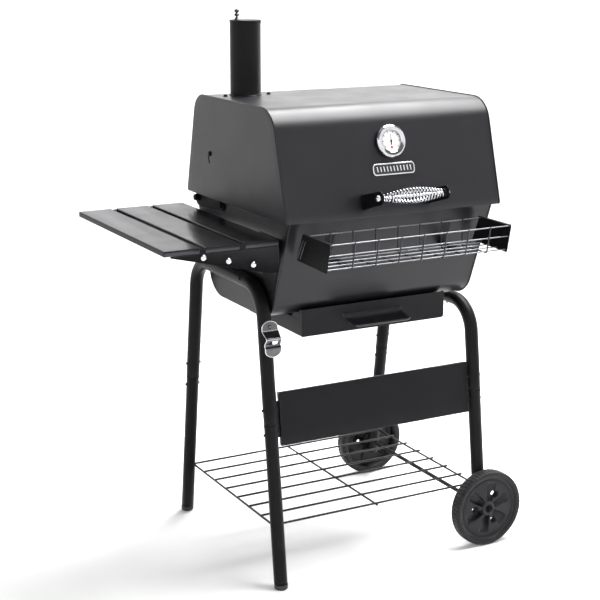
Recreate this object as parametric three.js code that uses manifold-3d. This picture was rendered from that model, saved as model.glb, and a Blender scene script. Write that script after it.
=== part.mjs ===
// Charcoal barrel grill with a chimney, a slatted side shelf, a wire basket and a wheeled tube stand.
// Units are millimetres. +Z is up, the front faces -Y and the side shelf is at -X.
import * as THREE from 'three';
import { mergeVertices } from 'three/addons/utils/BufferGeometryUtils.js';
import Module from 'manifold-3d';

const wasm = await Module();
wasm.setup();

// ---- driving dimensions -------------------------------------------------------------------------
const GAP = 0.35;                 // clearance between neighbouring pieces
const SHEET = 1.5;                // sheet steel of the lid, firebox, drawer and brackets

// body sections as [y, z], going round from the rear bottom to the front bottom
const LID_HALF = 274;
const LID_EDGE_Z = 830.3;
const LID_TOP_Z = 1062;
const LID_SECTION = [[221, LID_EDGE_Z], [166.5, LID_TOP_Z], [-215.6, LID_TOP_Z], [-280.5, LID_EDGE_Z]];
const LID_BENDS = [0, 48, 62, 0];
const FRONT_TOP = [-228, 1017.9]; // where the sloping front of the lid starts, below the bend
const BOX_LEFT = -257.7;
const BOX_RIGHT = 262;
const BOX_RIM_Z = 835;
const BOX_FLOOR_Z = 599;
const BOX_SECTION = [[208.3, BOX_RIM_Z], [118, BOX_FLOOR_Z], [-176, BOX_FLOOR_Z], [-266.5, BOX_RIM_Z]];
const BOX_BENDS = [0, 68, 64, 0];
const END_PLATE = 2;

const FRONT_DIR = new THREE.Vector2(LID_SECTION[3][0] - LID_SECTION[2][0],
  LID_SECTION[3][1] - LID_SECTION[2][1]).normalize();       // down the sloping front of the lid
const FRONT_NORMAL = new THREE.Vector2(FRONT_DIR.y, -FRONT_DIR.x); // out of it, as (y, z)

// stand
const TUBE_R = 15.9;
const LEG_SLANT = 0.1304;
const LEG_FOOT_Y = 256.9;
const LEFT_LEG_X = -274;
const RIGHT_LEG_X = 270.3;
const LEFT_BAR_Z = 673;
const RIGHT_BAR_Z = 575;
const BEND_R = 75;
const SPLICE_Z = 373;             // where the lower tubes plug into the two bent upper tubes
const legY = (z) => LEG_FOOT_Y - LEG_SLANT * z;

// wheels
const WHEEL_R = 92;
const WHEEL_X = 273;
const WHEEL_IN_Y = 253.5;
const WHEEL_W = 32;
const AXLE_R = 5;

// side shelf
const SLAT_X = [[-540, -460.7], [-448.5, -368.7], [-357.3, -278.5]];
const SLAT_Y = [-258.4, 240.5];
const SHELF_Z = 796.2;
const SLAT_T = 12;

// chimney
const CHIMNEY = { x: -184, y: 86, r: 35, top: 1229 };

// thermometer, badge and handle positions down the sloping front, measured along the slope
const GAUGE_AT = 37;
const BADGE_AT = 96.4;
const HANDLE_AT = 163;
const HANDLE_OUT = 70.7;
const HANDLE_HALF = 83;

// basket
const BASKET = { half: 228, backTop: -268, backBottom: -241.5, front: -386, frontBottom: -373, top: 804,
  bottom: 743.7 };

// ---- helpers ------------------------------------------------------------------------------------
const V = (x, y, z) => new THREE.Vector3(x, y, z);
const PAINT = { color: 0x26262a, roughness: 0.42, metalness: 0.0 };
const DARK = { color: 0x18181a, roughness: 0.6, metalness: 0.0 };
const CHROME = { color: 0xd8d9db, roughness: 0.15, metalness: 1.0 };
const STEEL = { color: 0xa9abad, roughness: 0.35, metalness: 1.0 };
const IRON = { color: 0x2a2a2b, roughness: 0.7, metalness: 0.2 };
const PLASTIC = { color: 0x202022, roughness: 0.55, metalness: 0.0 };
const grill = new THREE.Group();
grill.name = 'barrel_grill';

function add(name, geometry, look) {
  const mesh = new THREE.Mesh(geometry, new THREE.MeshStandardMaterial(look));
  mesh.name = name;
  grill.add(mesh);
}

function solid(geometry) {
  const g = geometry.clone();
  g.deleteAttribute('normal');
  g.deleteAttribute('uv');
  const m = mergeVertices(g, 1e-5);
  return new wasm.Manifold(new wasm.Mesh({
    numProp: 3,
    vertProperties: new Float32Array(m.attributes.position.array),
    triVerts: new Uint32Array(m.index.array),
  }));
}

function geometryOf(manifold) {
  const m = manifold.getMesh();
  const g = new THREE.BufferGeometry();
  g.setAttribute('position', new THREE.BufferAttribute(m.vertProperties, 3));
  g.setIndex(new THREE.BufferAttribute(m.triVerts, 1));
  g.computeVertexNormals();
  return g;
}

function union(geometries) {
  return geometryOf(geometries.slice(1).reduce((a, g) => a.add(solid(g)), solid(geometries[0])));
}

function cut(geometry, tools) {
  return geometryOf(tools.reduce((a, g) => a.subtract(solid(g)), solid(geometry)));
}

function box(x0, x1, y0, y1, z0, z1) {
  const g = new THREE.BoxGeometry(x1 - x0, y1 - y0, z1 - z0);
  return g.translate((x0 + x1) / 2, (y0 + y1) / 2, (z0 + z1) / 2);
}

function shapeOf(points, holes = []) {
  const toVec = (p) => new THREE.Vector2(p[0], p[1]);
  const s = new THREE.Shape(points.map(toVec));
  holes.forEach((h) => s.holes.push(new THREE.Path(h.map(toVec))));
  return s;
}

// a [y, z] outline carried along X from x0 to x1
function alongX(points, x0, x1, holes = []) {
  const g = new THREE.ExtrudeGeometry(shapeOf(points, holes),
    { depth: x1 - x0, bevelEnabled: false, steps: 1 });
  return g.applyMatrix4(new THREE.Matrix4().makeBasis(V(0, 1, 0), V(0, 0, 1), V(1, 0, 0)))
    .translate(x0, 0, 0);
}

// an [x, z] outline carried along Y from y0 to y1
function alongY(points, y0, y1, holes = []) {
  const g = new THREE.ExtrudeGeometry(shapeOf(points, holes),
    { depth: y1 - y0, bevelEnabled: false, steps: 1 });
  return g.applyMatrix4(new THREE.Matrix4().makeBasis(V(1, 0, 0), V(0, 0, 1), V(0, -1, 0)))
    .translate(0, y1, 0);
}

// a cylinder between two points
function rod(a, b, r, sides = 12) {
  const d = b.clone().sub(a);
  const g = new THREE.CylinderGeometry(r, r, d.length(), sides);
  g.applyQuaternion(new THREE.Quaternion().setFromUnitVectors(V(0, 1, 0), d.clone().normalize()));
  return g.translate(...a.clone().add(b).multiplyScalar(0.5).toArray());
}

// a turned piece: outline as [radius, distance along the axis] from a start point along a direction
function turned(outline, at, dir, sides = 24) {
  const g = new THREE.LatheGeometry(outline.map((p) => new THREE.Vector2(p[0], p[1])), sides);
  g.applyQuaternion(new THREE.Quaternion().setFromUnitVectors(V(0, 1, 0), dir.clone().normalize()));
  return g.translate(at.x, at.y, at.z);
}

// round an open line of [a, b] corners, each with its own radius
function rounded(points, radii, steps = 5) {
  const out = [];
  points.forEach((p, i) => {
    const r = radii[i] ?? 0;
    if (!r || i === 0 || i === points.length - 1) { out.push(p); return; }
    const here = new THREE.Vector2(...p);
    const back = new THREE.Vector2(...points[i - 1]).sub(here).normalize();
    const on = new THREE.Vector2(...points[i + 1]).sub(here).normalize();
    const half = Math.acos(back.dot(on)) / 2;
    const centre = back.clone().add(on).normalize().multiplyScalar(r / Math.sin(half)).add(here);
    const start = back.clone().multiplyScalar(r / Math.tan(half)).add(here).sub(centre);
    const side = Math.sign(back.cross(on)) || 1;
    for (let k = 0; k <= steps; k++) {
      const turn = (Math.PI - 2 * half) * (k / steps) * -side;
      const v = start.clone().rotateAround(new THREE.Vector2(), turn).add(centre);
      out.push([v.x, v.y]);
    }
  });
  return out;
}

// the same line moved sideways by d (to the right of its direction), mitred at the corners
function offset(points, d) {
  return points.map((p, i) => {
    const here = new THREE.Vector2(...p);
    const normals = [];
    if (i > 0) normals.push(here.clone().sub(new THREE.Vector2(...points[i - 1])));
    if (i < points.length - 1) normals.push(new THREE.Vector2(...points[i + 1]).sub(here));
    const ns = normals.map((t) => new THREE.Vector2(t.y, -t.x).normalize());
    const n = ns.reduce((a, b) => a.clone().add(b)).normalize();
    const v = n.clone().multiplyScalar(d / n.dot(ns[0])).add(here);
    return [v.x, v.y];
  });
}

// a round bar swept along a line of points, with flat ends
function bar(points, r, sides = 10) {
  const pos = [];
  const index = [];
  let side = null;
  points.forEach((p, i) => {
    const back = i > 0 ? p.clone().sub(points[i - 1]).normalize() : null;
    const on = i < points.length - 1 ? points[i + 1].clone().sub(p).normalize() : null;
    const t = (back ?? on).clone().add(on ?? back).normalize();
    if (!side) side = (Math.abs(t.x) < 0.9 ? V(1, 0, 0) : V(0, 1, 0));
    side = side.sub(t.clone().multiplyScalar(side.dot(t))).normalize();
    const up = t.clone().cross(side);
    for (let k = 0; k < sides; k++) {
      const a = (2 * Math.PI * k) / sides;
      const q = p.clone().addScaledVector(side, r * Math.cos(a)).addScaledVector(up, r * Math.sin(a));
      pos.push(q.x, q.y, q.z);
    }
  });
  const n = points.length;
  for (let i = 0; i < n - 1; i++) {
    for (let k = 0; k < sides; k++) {
      const a = i * sides + k;
      const b = i * sides + ((k + 1) % sides);
      index.push(a, b, b + sides, a, b + sides, a + sides);
    }
  }
  pos.push(...points[0].toArray(), ...points[n - 1].toArray());
  const first = n * sides;
  for (let k = 0; k < sides; k++) {
    const next = (k + 1) % sides;
    index.push(first, next, k, first + 1, (n - 1) * sides + k, (n - 1) * sides + next);
  }
  const g = new THREE.BufferGeometry();
  g.setAttribute('position', new THREE.Float32BufferAttribute(pos, 3));
  g.setAttribute('uv', new THREE.Float32BufferAttribute(new Float32Array((pos.length / 3) * 2), 2));
  g.setIndex(index);
  g.computeVertexNormals();
  return g;
}

// a point on the sloping front of the lid: x, distance down the slope, distance out of it
function onFront(x, down, out) {
  const [y, z] = FRONT_TOP;
  return V(x, y + FRONT_DIR.x * down + FRONT_NORMAL.x * out, z + FRONT_DIR.y * down + FRONT_NORMAL.y * out);
}
const FRONT_OUT = V(0, FRONT_NORMAL.x, FRONT_NORMAL.y);
const FRONT_DOWN = V(0, FRONT_DIR.x, FRONT_DIR.y);

// a plate lying on the sloping front: outline as [across, down], between two distances out
function onFrontPlate(points, at, out0, out1) {
  const g = new THREE.ExtrudeGeometry(shapeOf(points), { depth: out1 - out0, bevelEnabled: false });
  const o = onFront(0, at, out0);
  return g.applyMatrix4(new THREE.Matrix4().makeBasis(V(-1, 0, 0), FRONT_DOWN, FRONT_OUT))
    .translate(o.x, o.y, o.z);
}

// ---- lid ----------------------------------------------------------------------------------------
const lidLine = rounded(LID_SECTION, LID_BENDS, 7);
const lidSkin = alongX([...lidLine, ...offset(lidLine, -SHEET).reverse()],
  -LID_HALF + END_PLATE + GAP, LID_HALF - END_PLATE - GAP);
const gaugeHole = rod(onFront(2, GAUGE_AT, -12), onFront(2, GAUGE_AT, 12), 7);
add('lid_skin', cut(lidSkin, [
  rod(V(CHIMNEY.x, CHIMNEY.y, LID_TOP_Z - 20), V(CHIMNEY.x, CHIMNEY.y, LID_TOP_Z + 20), CHIMNEY.r + GAP, 32),
  gaugeHole]), PAINT);

// the lid ends, each with an ear inside it that turns on the hinge pin
const HINGE_Y = 183;
const HINGE_Z = 817;
const HINGE_STAY_Y = 60.5;
const PIN_R = 4.2;
const EAR_Z = HINGE_Z + 26;
const spanOut = (s, a, b) => (s < 0 ? [BOX_LEFT - b, BOX_LEFT - a] : [BOX_RIGHT + a, BOX_RIGHT + b]);
for (const [side, s, x0] of [['left', -1, -LID_HALF], ['right', 1, LID_HALF - END_PLATE]]) {
  const ear = spanOut(s, GAP, 1.8);
  const earLine = [[HINGE_Y - 14, EAR_Z], [HINGE_Y - 14, HINGE_Z - 4], [HINGE_Y - 8, HINGE_Z - 13],
    [HINGE_Y + 8, HINGE_Z - 13], [HINGE_Y + 14, HINGE_Z - 4], [HINGE_Y + 14, EAR_Z]];
  const reach = s < 0 ? [-LID_HALF + 0.5, ear[1]] : [ear[0], LID_HALF - 0.5];
  add(`lid_${side}_end`, cut(union([alongX(lidLine, x0, x0 + END_PLATE), alongX(earLine, ...ear),
    box(...reach, HINGE_Y - 14, HINGE_Y + 14, EAR_Z - 2, EAR_Z)]),
  [rod(V(ear[0] - 3, HINGE_Y, HINGE_Z), V(ear[1] + 3, HINGE_Y, HINGE_Z), PIN_R + GAP, 12)]), PAINT);
}

// chimney pipe with its fixing plate under the lid
const pipe = turned([[CHIMNEY.r - SHEET, 0], [CHIMNEY.r, 0], [CHIMNEY.r, CHIMNEY.top - LID_TOP_Z + 6],
  [CHIMNEY.r - SHEET, CHIMNEY.top - LID_TOP_Z + 6], [CHIMNEY.r - SHEET, 0]],
V(CHIMNEY.x, CHIMNEY.y, LID_TOP_Z - 6), V(0, 0, 1), 32);
const plate = cut(box(CHIMNEY.x - 68, CHIMNEY.x + 68, CHIMNEY.y - 44, CHIMNEY.y + 38, LID_TOP_Z - 6, LID_TOP_Z - 4),
  [rod(V(CHIMNEY.x, CHIMNEY.y, LID_TOP_Z - 10), V(CHIMNEY.x, CHIMNEY.y, LID_TOP_Z), CHIMNEY.r - SHEET, 32)]);
add('chimney_pipe', union([pipe, plate]), PAINT);

// swivelling cap held by a bolt near the rim
const CAP_PIVOT_X = CHIMNEY.x - 21;
const capZ = CHIMNEY.top + GAP;
add('chimney_cap', union([
  rod(V(CHIMNEY.x, CHIMNEY.y, capZ), V(CHIMNEY.x, CHIMNEY.y, capZ + 2), CHIMNEY.r, 32),
  rod(V(CAP_PIVOT_X, CHIMNEY.y, capZ - 16), V(CAP_PIVOT_X, CHIMNEY.y, capZ + 1), 3, 10)]), PAINT);
add('cap_knob', turned([[0, 0], [5, 0], [3, 4], [3, 8], [5.5, 9], [5.5, 13], [3, 14], [3, 19], [5, 20], [5, 24], [0, 25]],
  V(CAP_PIVOT_X, CHIMNEY.y, capZ + 2 + GAP), V(0, 0, 1), 20), STEEL);

// thermometer
const gaugeAt = (out) => onFront(2, GAUGE_AT, out);
add('thermometer_case', turned([[0, -40], [3.5, -40], [3.5, 0], [26, 0.5], [33, 1], [36, 4], [36.5, 8],
  [35, 11], [31, 12.5], [30, 11], [29.5, 6.5], [0, 6.5]].map(([r, h]) => [r, h + GAP]),
gaugeAt(0), FRONT_OUT, 32), CHROME);
add('thermometer_dial', turned([[0, 7.2], [29, 7.2], [29, 8], [0, 8]], gaugeAt(0), FRONT_OUT, 32),
  { color: 0xf2f2ee, roughness: 0.5, metalness: 0.0 });
add('thermometer_needle', onFrontPlate([[-3.4, 8], [-0.6, 8], [-1.6, -22], [-2.4, -22]], GAUGE_AT, 8.4, 9.0),
  { color: 0x1a1a1a, roughness: 0.5, metalness: 0.0 });
add('thermometer_lens', turned([[0, 9.5], [29, 9.5], [29, 10.7], [0, 11.6]], gaugeAt(0), FRONT_OUT, 32),
  { color: 0xe8eef0, roughness: 0.05, metalness: 0.0 });

// plain name badge
add('badge_plate', onFrontPlate([[-53, -9], [-49, -13], [49, -13], [53, -9], [53, 9], [49, 13], [-49, 13],
  [-53, 9]], BADGE_AT, GAP, 3.2).translate(4, 0, 0), { color: 0xb9bcbe, roughness: 0.3, metalness: 1.0 });

// handle: two brackets, a rod and a spring grip
for (const [name, x] of [['handle_bracket_left', -HANDLE_HALF], ['handle_bracket_right', HANDLE_HALF]]) {
  const foot = onFront(x, HANDLE_AT, GAP);
  const top = onFront(x, HANDLE_AT, HANDLE_OUT);
  const footPlate = new THREE.BoxGeometry(16, 30, 3).applyMatrix4(new THREE.Matrix4()
    .makeBasis(V(-1, 0, 0), FRONT_DOWN, FRONT_OUT)).translate(...onFront(x, HANDLE_AT, 2).toArray());
  const eye = rod(V(x - 1.5, top.y, top.z), V(x + 1.5, top.y, top.z), 12, 16);
  const arm = new THREE.BoxGeometry(3, 24, HANDLE_OUT - 3).applyMatrix4(new THREE.Matrix4()
    .makeBasis(V(-1, 0, 0), FRONT_DOWN, FRONT_OUT)).translate(...foot.clone().add(top).multiplyScalar(0.5).toArray());
  const hole = rod(V(x - 9, top.y, top.z), V(x + 9, top.y, top.z), 4 + GAP, 12);
  add(name, cut(union([footPlate, arm, eye]), [hole]), DARK);
}
const handleAxis = onFront(0, HANDLE_AT, HANDLE_OUT);
const handlePoint = (x) => V(x, handleAxis.y, handleAxis.z);
add('handle_rod', turned([[0, -7], [5, -7], [6.5, -5.5], [6.5, -GAP], [4, -GAP], [4, 173 + GAP],
  [6.5, 173 + GAP], [6.5, 178.5], [5, 180], [0, 180]], handlePoint(-HANDLE_HALF - 3.5), V(1, 0, 0), 12), CHROME);
const gripOuter = [7.5, 9.5, 12.5, 15.5, 17.5, 18.3, 17.5, 15.5, 12.5, 9.5, 7.5].map((r, i) => [r, -76 + i * 15.2]);
add('handle_grip', turned([[4 + GAP, -76], ...gripOuter, [4 + GAP, 76], [4 + GAP, -76]],
  handlePoint(0), V(1, 0, 0), 20), CHROME);

// ---- firebox ------------------------------------------------------------------------------------
const boxLine = rounded(BOX_SECTION, BOX_BENDS, 7);
const boxX = [BOX_LEFT + END_PLATE + GAP, BOX_RIGHT - END_PLATE - GAP];
add('firebox_skin', cut(alongX([...boxLine, ...offset(boxLine, SHEET).reverse()], ...boxX), [
  box(-150, 150, -110, 20, BOX_FLOOR_Z - 6, BOX_FLOOR_Z + 6)]), PAINT);
const VENT_Y = -30;
const VENT_Z = 668;
const VENT_AT = 24;
const COOK_Z = 812;
const COAL_Z = 676;
function innerFaces(z) {          // inside of the firebox front and rear walls at one height
  const y = (a, b) => a[0] + ((z - a[1]) / (b[1] - a[1])) * (b[0] - a[0]);
  return [y(BOX_SECTION[2], BOX_SECTION[3]) + SHEET + 1, y(BOX_SECTION[1], BOX_SECTION[0]) - SHEET - 1];
}
function ventHoles(x0, x1) {
  return [0, 1, 2].map((k) => {
    const a = (Math.PI * (k * 120 + 90)) / 180;
    const [y, z] = [VENT_Y + VENT_AT * Math.cos(a), VENT_Z + VENT_AT * Math.sin(a)];
    return rod(V(x0, y, z), V(x1, y, z), 9, 16);
  });
}
// each end carries folded lips for the two grates
for (const [side, s, x0, x1] of [['left', 1, BOX_LEFT, BOX_LEFT + END_PLATE],
  ['right', -1, BOX_RIGHT - END_PLATE, BOX_RIGHT]]) {
  const parts = [alongX(boxLine, x0, x1)];
  for (const z of [COOK_Z, COAL_Z]) {
    const top = z - 3.2 - GAP;
    const [f, r] = innerFaces(top - 12);
    const lip = s > 0 ? [x1 - 0.5, x1 + 24] : [x0 - 24, x0 + 0.5];
    const edge = s > 0 ? [x1 + 22.5, x1 + 24] : [x0 - 24, x0 - 22.5];
    parts.push(box(...lip, f + 10, r - 10, top - SHEET, top), box(...edge, f + 10, r - 10, top - 12, top - 0.5));
  }
  add(`firebox_${side}_end`, side === 'right' ? cut(union(parts), ventHoles(x0 - 5, x1 + 5)) : union(parts), PAINT);
}

// air damper: a disc with three holes that turns over the holes in the right end
const damperX = BOX_RIGHT + GAP;
add('air_damper', cut(union([
  rod(V(damperX, VENT_Y, VENT_Z), V(damperX + 1.6, VENT_Y, VENT_Z), 38, 32),
  box(damperX, damperX + 9, VENT_Y - 8, VENT_Y + 8, VENT_Z - 52, VENT_Z - 46),
  box(damperX, damperX + 1.6, VENT_Y - 8, VENT_Y + 8, VENT_Z - 50, VENT_Z - 30)]), ventHoles(BOX_RIGHT - 5, BOX_RIGHT + 8)), PAINT);

// the three grates
function barGrate(x0, x1, y0, y1, z, wires, r) {
  const ends = [x0 + r, x1 - r];
  const parts = ends.map((x) => rod(V(x, y0, z), V(x, y1, z), r, 6));
  for (let i = 0; i < wires; i++) {
    const y = y0 + 2 * r + ((y1 - y0 - 4 * r) * i) / (wires - 1);
    parts.push(rod(V(ends[0], y, z), V(ends[1], y, z), r * 0.9, 4));
  }
  return union(parts);
}
const [cookF, cookR] = innerFaces(COOK_Z - 5);
const grateMid = (boxX[0] + boxX[1]) / 2;
add('cooking_grate_left', barGrate(boxX[0] + 4, grateMid - 2, cookF + 4, cookR - 4, COOK_Z, 15, 3.2), IRON);
add('cooking_grate_right', barGrate(grateMid + 2, boxX[1] - 4, cookF + 4, cookR - 4, COOK_Z, 15, 3.2), IRON);
const [coalF, coalR] = innerFaces(COAL_Z - 8);
add('charcoal_grate', barGrate(boxX[0] + 20, boxX[1] - 20, coalF + 8, coalR - 8, COAL_Z, 10, 3.2), IRON);

// hinge plates outboard of the lid ears, with their pins and stay bolts
for (const [side, s] of [['left', -1], ['right', 1]]) {
  const span = (a, b) => spanOut(s, a, b);
  const platePos = span(2.3, 4);
  const plateLine = [[HINGE_Y + 18, HINGE_Z - 2], [HINGE_Y + 12, HINGE_Z - 15], [HINGE_Y, HINGE_Z - 21],
    [HINGE_STAY_Y, HINGE_Z - 14], [HINGE_STAY_Y - 14, HINGE_Z - 6], [HINGE_STAY_Y - 14, HINGE_Z + 6],
    [HINGE_STAY_Y, HINGE_Z + 8], [HINGE_Y, HINGE_Z + 8], [HINGE_Y + 14, HINGE_Z + 7]];
  const pin = span(GAP, 2.6);
  const spacer = rod(V(pin[0], HINGE_STAY_Y, HINGE_Z + 1), V(pin[1], HINGE_STAY_Y, HINGE_Z + 1), 9, 16);
  const pivot = rod(V(pin[0], HINGE_Y, HINGE_Z), V(pin[1], HINGE_Y, HINGE_Z), PIN_R, 12);
  const head = span(3.8, 8.5);
  const heads = [[HINGE_Y, HINGE_Z], [HINGE_STAY_Y, HINGE_Z + 1]].map(([y, z]) =>
    rod(V(head[0], y, z), V(head[1], y, z), 8.5, 12));
  add(`hinge_plate_${side}`, union([alongX(plateLine, ...platePos), spacer, pivot, ...heads]), DARK);
}

// warming rack, hung from the lid ends and a link
const RACK = { half: 246, z: 906, front: -14, rear: 128, r: 2.6 };
const rackParts = [];
for (const y of [RACK.front, RACK.rear]) {
  rackParts.push(rod(V(-RACK.half, y, RACK.z), V(RACK.half, y, RACK.z), RACK.r, 8));
}
for (let i = 0; i < 15; i++) {
  const x = -RACK.half + 6 + ((2 * RACK.half - 12) * i) / 14;
  rackParts.push(rod(V(x, RACK.front - 0.5, RACK.z), V(x, RACK.rear + 0.5, RACK.z), RACK.r * 0.9, 4));
}
const RACK_PIVOT = [89.4, 932.4];
for (const s of [-1, 1]) {
  rackParts.push(bar([V(s * (RACK.half - 6), RACK.front, RACK.z), V(s * (RACK.half - 6), RACK_PIVOT[0], RACK_PIVOT[1]),
    V(s * (LID_HALF - END_PLATE - GAP - 0.4), RACK_PIVOT[0], RACK_PIVOT[1])], RACK.r * 0.95, 8));
}
add('warming_rack', union(rackParts), STEEL);

// ---- ash drawer ---------------------------------------------------------------------------------
const DRAWER = { half: 188, front: -192, rear: 66, top: 594, bottom: 555, faceTop: 618.5, lip: 13 };
const D = DRAWER;
const trayX = [-D.half + 0.5, D.half - 0.5];
const trayOut = box(...trayX, D.front + 1, D.rear, D.bottom, D.top);
const trayIn = box(trayX[0] + SHEET, trayX[1] - SHEET, D.front + 3, D.rear - SHEET, D.bottom + SHEET, 700);
const rearLow = box(-D.half - 5, D.half + 5, D.rear - 2 * SHEET, D.rear + 5, D.top - 16, 700);
const sideLip = (s) => box(...(s < 0 ? [trayX[0], trayX[0] + D.lip] : [trayX[1] - D.lip, trayX[1]]),
  D.front + 2, D.rear - 2 * SHEET, D.top - SHEET, D.top);
const face = alongY([[-D.half, D.faceTop], [-D.half, D.bottom], [D.half - 8, D.bottom],
  [D.half, D.bottom + 8], [D.half, D.faceTop]], D.front, D.front + SHEET);
const chamfer = alongY([[D.half - 8.3, D.bottom - 1], [D.half + 1, D.bottom - 1], [D.half + 1, D.bottom + 8.3]],
  D.front - 1, D.rear + 1);
add('ash_drawer', union([cut(trayOut, [trayIn, rearLow, chamfer]), sideLip(-1), sideLip(1), face]), PAINT);
const pullLine = [[0, 592], [0, 585], [-38, 574], [-42, 577]].map(([y, z]) => [D.front - GAP - SHEET + y, z]);
add('drawer_pull', alongX([...pullLine, ...offset(pullLine, SHEET).reverse()], -84, 70), PAINT);
// rails under the firebox floor that the drawer's inward lips run on
for (const [side, s] of [['left', -1], ['right', 1]]) {
  const x = (a, b) => (s < 0 ? [-b, -a] : [a, b]);
  const railTop = BOX_FLOOR_Z - GAP;
  add(`drawer_rail_${side}`, union([
    box(...x(170, 171.5), -110, 48, D.top - 12, railTop),
    box(...x(170, 184), -110, 48, D.top - SHEET - GAP - 1.5, D.top - SHEET - GAP),
    box(...x(160, 171.5), -110, 48, railTop - 1.5, railTop)]), PAINT);
}

// ---- stand --------------------------------------------------------------------------------------
function upperTube(x, barZ) {
  const topY = legY(barZ);
  const line = rounded([[legY(SPLICE_Z), SPLICE_Z], [topY, barZ], [-topY, barZ], [-legY(SPLICE_Z), SPLICE_Z]],
    [0, BEND_R, BEND_R, 0], 6);
  return bar(line.map(([y, z]) => V(x, y, z)), TUBE_R, 16);
}
add('upper_tube_left', upperTube(LEFT_LEG_X, LEFT_BAR_Z), PAINT);
add('upper_tube_right', upperTube(RIGHT_LEG_X, RIGHT_BAR_Z), PAINT);
const LOWER_R = TUBE_R - 0.7;
for (const [name, x, s, foot] of [['front_left', LEFT_LEG_X, -1, 14], ['rear_left', LEFT_LEG_X, 1, 14],
  ['front_right', RIGHT_LEG_X, -1, 66], ['rear_right', RIGHT_LEG_X, 1, 66]]) {
  const at = (z) => V(x, s * legY(z), z);
  const tube = bar([at(foot), at(SPLICE_Z - GAP)], LOWER_R, 16);
  const right = x > 0;
  add(`lower_tube_${name}`, right ? cut(tube, [
    rod(V(WHEEL_X, s * 200, WHEEL_R), V(WHEEL_X, s * 300, WHEEL_R), AXLE_R + GAP, 12)]) : tube, PAINT);
  if (!right) {
    add(`foot_${name}`, turned([[0, 0], [12, 0], [15.6, 3.5], [15.6, 11.5], [0, 11.5]],
      V(x, s * legY(0), 0), V(0, 0, 1), 16), PLASTIC);
  }
}

// front panel between the legs, in the plane of the leg axes
const panelY = (z) => -legY(z);
const pz = [317.7, 439];
const panelSide = [RIGHT_LEG_X - TUBE_R - GAP, LEFT_LEG_X + TUBE_R + GAP];
add('front_panel', union([
  alongX([[panelY(pz[0]), pz[0]], [panelY(pz[1]), pz[1]], [panelY(pz[1]) + SHEET, pz[1]],
    [panelY(pz[0]) + SHEET, pz[0]]], -249.5, 252.8),
  alongX([[panelY(pz[1]), pz[1] - SHEET], [panelY(pz[1]), pz[1]], [panelY(pz[1]) + 12, pz[1]],
    [panelY(pz[1]) + 12, pz[1] - SHEET]], -249.5, 252.8),
  alongX([[panelY(pz[0]) + 4, pz[0] + 20], [panelY(pz[1]) + 4, pz[1] - 20], [panelY(pz[1]) + 6, pz[1] - 20],
    [panelY(pz[0]) + 6, pz[0] + 20]], panelSide[1], panelSide[0]),
  alongX([[panelY(pz[0]) + 1, pz[0] + 20], [panelY(pz[1]) + 1, pz[1] - 20], [panelY(pz[1]) + 6, pz[1] - 20],
    [panelY(pz[0]) + 6, pz[0] + 20]], -249.5, -247),
  alongX([[panelY(pz[0]) + 1, pz[0] + 20], [panelY(pz[1]) + 1, pz[1] - 20], [panelY(pz[1]) + 6, pz[1] - 20],
    [panelY(pz[0]) + 6, pz[0] + 20]], 250.3, 252.8)]), PAINT);

// wire shelf
const WIRE_R = 2.6;
const SHELF = { z: 133.4, x0: -270, x1: 280, y: 217, wires: 8 };
const shelfParts = [SHELF.x0, -2.5, 273].map((x) =>
  rod(V(x, -SHELF.y - 4, SHELF.z), V(x, SHELF.y + 4, SHELF.z), WIRE_R, 8));
for (let i = 0; i < SHELF.wires; i++) {
  const y = -SHELF.y + (2 * SHELF.y * i) / (SHELF.wires - 1);
  shelfParts.push(rod(V(SHELF.x0, y, SHELF.z + 1.2), V(SHELF.x1, y, SHELF.z + 1.2), WIRE_R * 0.96, 6));
}
add('wire_shelf', union(shelfParts), PAINT);

// axle and wheels
const axleEnd = WHEEL_IN_Y + WHEEL_W - 7;
add('axle', rod(V(WHEEL_X, -axleEnd, WHEEL_R), V(WHEEL_X, axleEnd, WHEEL_R), AXLE_R, 16), STEEL);
for (const [name, s] of [['front', -1], ['rear', 1]]) {
  const w = WHEEL_W;
  const outline = [[AXLE_R + GAP, 11.5], [16, 11.5], [16, 13], [71, 13], [74, 2], [WHEEL_R - 4, 0], [WHEEL_R, 5], [WHEEL_R, w - 5],
    [WHEEL_R - 4, w], [74, w - 1], [71, w - 7], [30, w - 7.5], [22, w - 4], [17, w - 3], [AXLE_R + GAP, w - 3], [AXLE_R + GAP, 11.5]];
  const disc = turned(outline, V(WHEEL_X, s * WHEEL_IN_Y, WHEEL_R), V(0, s, 0), 40);
  const holes = [0, 1, 2].map((k) => {
    const a = (Math.PI * (k * 120 + 58)) / 180;
    const x = WHEEL_X + 37 * Math.cos(a);
    const z = WHEEL_R + 37 * Math.sin(a);
    return rod(V(x, s * 240, z), V(x, s * 330, z), 5, 12);
  });
  add(`wheel_${name}`, cut(disc, holes), PLASTIC);
  add(`wheel_nut_${name}`, turned([[0, 0], [9, 0], [8, 5], [4, 7], [0, 7.5]],
    V(WHEEL_X, s * (WHEEL_IN_Y + WHEEL_W - 3 + GAP), WHEEL_R), V(0, s, 0), 12), DARK);
}

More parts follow.
